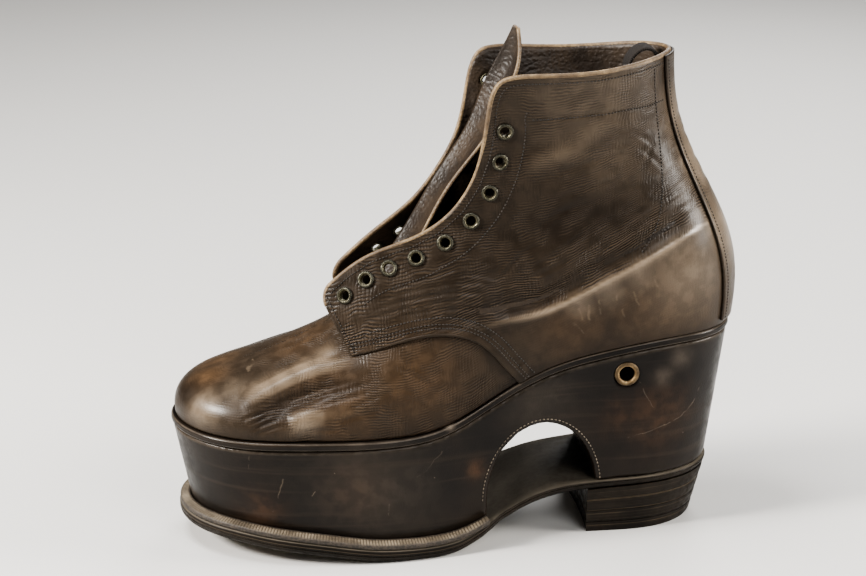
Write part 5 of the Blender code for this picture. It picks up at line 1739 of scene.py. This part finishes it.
# Outsole
# A thick leather sole from the toe through the arched waist to the heel seat.
# Its edge is inked and burnished over the layers that show.

# How far the outsole's edge stands out from the platform: plan row, distance
SOLE_PROUD = ((0.0, 6.6), (5.3, 6.6), (5.7, 5.0), (6.0, 1.2), (6.4, 0.6), (10.0, 0.8))


def sole_bottom_height(x):
    """Underside of the outsole: flat where the ball stands, rising to the toe and the waist."""
    top, thick = sole_line(x).T
    return np.maximum(top - thick, 0.0)


def layered_hide_material():
    """Sole leather in layers: inked dark on the edge, with fine pale lines, worn grey-brown on its faces,
    painted lighter there to lift the shade under the platform.
    """
    material, tree, shader, place = new_material("layered_hide", 0.5, coat=0.05, coat_roughness=0.3,
                                                 specular=0.1)
    blotch = use(tree, mottle, Vector=place, Scale=40.0)
    layer = joined(tree, times(tree, blotch["Mask"], 0.12), 0.0, times(tree, read_mark(tree, "layer"), 26.0))
    lines = noise(tree, layer, 1.0, 2.0)["Fac"]
    edge = blend(tree, blotch["Mask"], (0.0070, 0.0053, 0.0038, 1), (0.0165, 0.0125, 0.0088, 1))
    edge = blend(tree, smooth_range(tree, lines, 0.54, 0.66, 0.0, 0.6), edge, (0.105, 0.079, 0.052, 1))
    edge = blend(tree, smooth_range(tree, lines, 0.44, 0.36, 0.0, 0.8), edge, (0.007, 0.0055, 0.0045, 1))
    # The faces' grey-brown is their own worn colour, painted lighter to lift the shade that falls on the
    # waist under the platform
    face = blend(tree, blotch["Mask"], (0.085, 0.072, 0.055, 1), (0.135, 0.116, 0.091, 1))
    on_face = read_mark(tree, "face")
    feed(tree, shader, {"Base Color": blend(tree, on_face, edge, face),
                        "Roughness": times(tree, blotch["Fine"], 0.25, 0.38)})
    bumped(tree, shader, times(tree, lines, maths(tree, "SUBTRACT", 1.0, on_face)), 0.5, 0.0004)
    return material


layered_hide = layered_hide_material()
proud_rows, proud_edge = np.array(SOLE_PROUD).T
sole_rows = ring_rows(RING_STEPS)
sole_edge = np.interp(np.abs(sole_rows), proud_rows, proud_edge)
# Section of the sole's edge: distance out from the edge, lift, from the top or the bottom, face
SOLE_SECTION = (
    (-7.0, 0.0, sole_top_height, 1.0),
    (-0.5, 0.0, sole_top_height, 1.0),
    (0.0, -0.5, sole_top_height, 0.0),
    (0.0, 3.6, sole_bottom_height, 0.0),
    (-0.35, 3.3, sole_bottom_height, 0.0),
    (0.0, 3.0, sole_bottom_height, 0.0),
    (-0.4, 1.5, sole_bottom_height, 0.0),
    (-1.2, 0.5, sole_bottom_height, 0.0),
    (-3.0, 0.0, sole_bottom_height, 1.0),
)
sole_rings = [ring_at(tread_plan, sole_rows, sole_edge + out, line, lift)
              for out, lift, line, _ in SOLE_SECTION]
outsole = make_piece("outsole_leather", np.stack(sole_rings, axis=1),
                     strip_capped_faces(RING_STEPS, len(SOLE_SECTION)), layered_hide, closed=True,
                     marks={"layer": np.tile(np.linspace(0.0, 1.0, len(SOLE_SECTION)), RING_STEPS),
                            "face": np.tile([row[3] for row in SOLE_SECTION], RING_STEPS)})
outsole.data.set_sharp_from_angle(angle=math.radians(50))
finish_piece(outsole, "sole_leather", "outsole")

# Heel
# Lifts of sole leather glued and pegged in a stack, with a top piece that takes the wear.
# The edge is inked over the layers, and a fine pale line shows at each joint.

HEEL_BREAST = 65.5
HEEL_JOINTS = (1.0, 0.74, 0.48, 0.22, 0.0)
HEEL_TAPER_LONG = 0.10
HEEL_TAPER_WIDE = 0.07
HEEL_HOLLOW = 1.5
HEEL_STEPS = 70
LIFT_LEVELS = 9
LIFT_ROUND = 0.35                # rounding of a lift's edges
heel_start = np.interp(HEEL_BREAST, [row[0] for row in TREAD_PLAN], np.arange(len(TREAD_PLAN)))
heel_rows = np.linspace(heel_start, LAST_ROW, HEEL_STEPS + 1)
breast_share = np.linspace(1.0, -1.0, 25)[1:-1]


def heel_ring(share, lift, inset):
    """Heel outline at a share of the heel's height, drawn in towards the tread and by an inset."""
    outline = np.vstack([grown(tread_plan, -heel_rows, -inset), grown(tread_plan, heel_rows[-2::-1], -inset)])
    half = outline[-1, 1], outline[0, 1]
    breast_y = half[0] + (half[1] - half[0]) * (1 - breast_share) / 2
    breast = np.column_stack([HEEL_BREAST + HEEL_HOLLOW * (1 - breast_share ** 2) + inset, breast_y])
    plan = np.vstack([outline, breast])
    drawn = np.array((1 - HEEL_TAPER_LONG * (1 - share), 1 - HEEL_TAPER_WIDE * (1 - share)))
    seat = sole_bottom_height(plan[:, 0])
    points = (plan - (HEEL_BREAST, 0.0)) * drawn + (HEEL_BREAST, 0.0)
    return with_height(points, seat * share + lift)


heel_nodes = ("heel_lift_1", "heel_lift_2", "heel_lift_3", "heel_top_piece")
for node, high, low in zip(heel_nodes, HEEL_JOINTS, HEEL_JOINTS[1:]):
    levels = np.linspace(high, low, LIFT_LEVELS)
    insets = np.r_[LIFT_ROUND, 0.08, np.zeros(LIFT_LEVELS - 4), 0.08, LIFT_ROUND]
    lifts = -SEAT_GAP * np.linspace(1.0, 0.0, LIFT_LEVELS)
    heel_rings = [heel_ring(level, lift, inset) for level, lift, inset in zip(levels, lifts, insets)]
    count = len(heel_rings[0])
    piece = make_piece(f"{node}_leather", np.stack(heel_rings, axis=1), stacked_faces(count, LIFT_LEVELS),
                       layered_hide, closed=True, marks={"layer": np.tile(2.0 + 1.1 * (1 - levels), count),
                                                         "face": np.zeros(count * LIFT_LEVELS)})
    piece.data.set_sharp_from_angle(angle=math.radians(40))
    finish_piece(piece, "sole_leather", node)

# Stage
# A plain pale floor, soft studio lights and a camera at the photograph's angle.

VIEW_AZIMUTH = math.radians(-8.0)
VIEW_ELEVATION = math.radians(20.0)
VIEW_DISTANCE = 1.0879
VIEW_AIM = Vector((-0.01056, 0.00342, 0.12594))
VIEW_LENS = 90.0

floor_mesh = bpy.data.meshes.new("floor")
floor_mesh.from_pydata([(-3, -3, 0), (3, -3, 0), (3, 3, 0), (-3, 3, 0)], [], [(0, 1, 2, 3)])
floor = new_object("floor", floor_mesh)
floor_paint, _, floor_shader, _ = new_material("floor_paint", 0.7)
floor_shader.inputs["Base Color"].default_value = (0.62, 0.61, 0.59, 1)
floor_mesh.materials.append(floor_paint)


def soft_light(name, place, aim, size, power, colour=(1.0, 1.0, 1.0)):
    """Round soft light."""
    light = bpy.data.lights.new(name, "AREA")
    light.shape = "DISK"
    light.size = size
    light.energy = power
    light.color = colour
    obj = new_object(name, light)
    obj.location = place
    obj.rotation_euler = (Vector(aim) - Vector(place)).to_track_quat("-Z", "Y").to_euler()


soft_light("key", (-1.15, -0.22, 0.80), (-0.06, 0.0, 0.10), 0.32, 38.0, (1.0, 0.96, 0.91))
soft_light("side", (1.20, -0.28, 0.50), (0.09, 0.0, 0.14), 0.5, 22.0, (1.0, 0.96, 0.91))
soft_light("front", (0.45, -1.00, 0.95), (0.04, 0.0, 0.12), 0.7, 8.0)
soft_light("top", (-0.36, 0.0, 1.20), (-0.04, 0.0, 0.12), 0.5, 12.0)
soft_light("rim", (0.50, 0.95, 0.80), (0.05, 0.0, 0.15), 0.6, 8.0)

world = bpy.data.worlds.new("studio")
world.use_nodes = True
world.node_tree.nodes["Background"].inputs["Color"].default_value = (0.75, 0.76, 0.78, 1)
world.node_tree.nodes["Background"].inputs["Strength"].default_value = 0.13
bpy.context.scene.world = world
bpy.context.scene.view_settings.look = "AgX - Medium High Contrast"

lens = bpy.data.cameras.new("camera")
lens.lens = VIEW_LENS
lens.sensor_width = 36.0
lens.sensor_fit = "HORIZONTAL"
lens.clip_start = 0.05
camera = new_object("camera", lens)
towards = Vector((math.sin(VIEW_AZIMUTH) * math.cos(VIEW_ELEVATION),
                  -math.cos(VIEW_AZIMUTH) * math.cos(VIEW_ELEVATION), math.sin(VIEW_ELEVATION)))
camera.location = VIEW_AIM + towards * VIEW_DISTANCE
camera.rotation_euler = (-towards).to_track_quat("-Z", "Y").to_euler()
bpy.context.scene.camera = camera
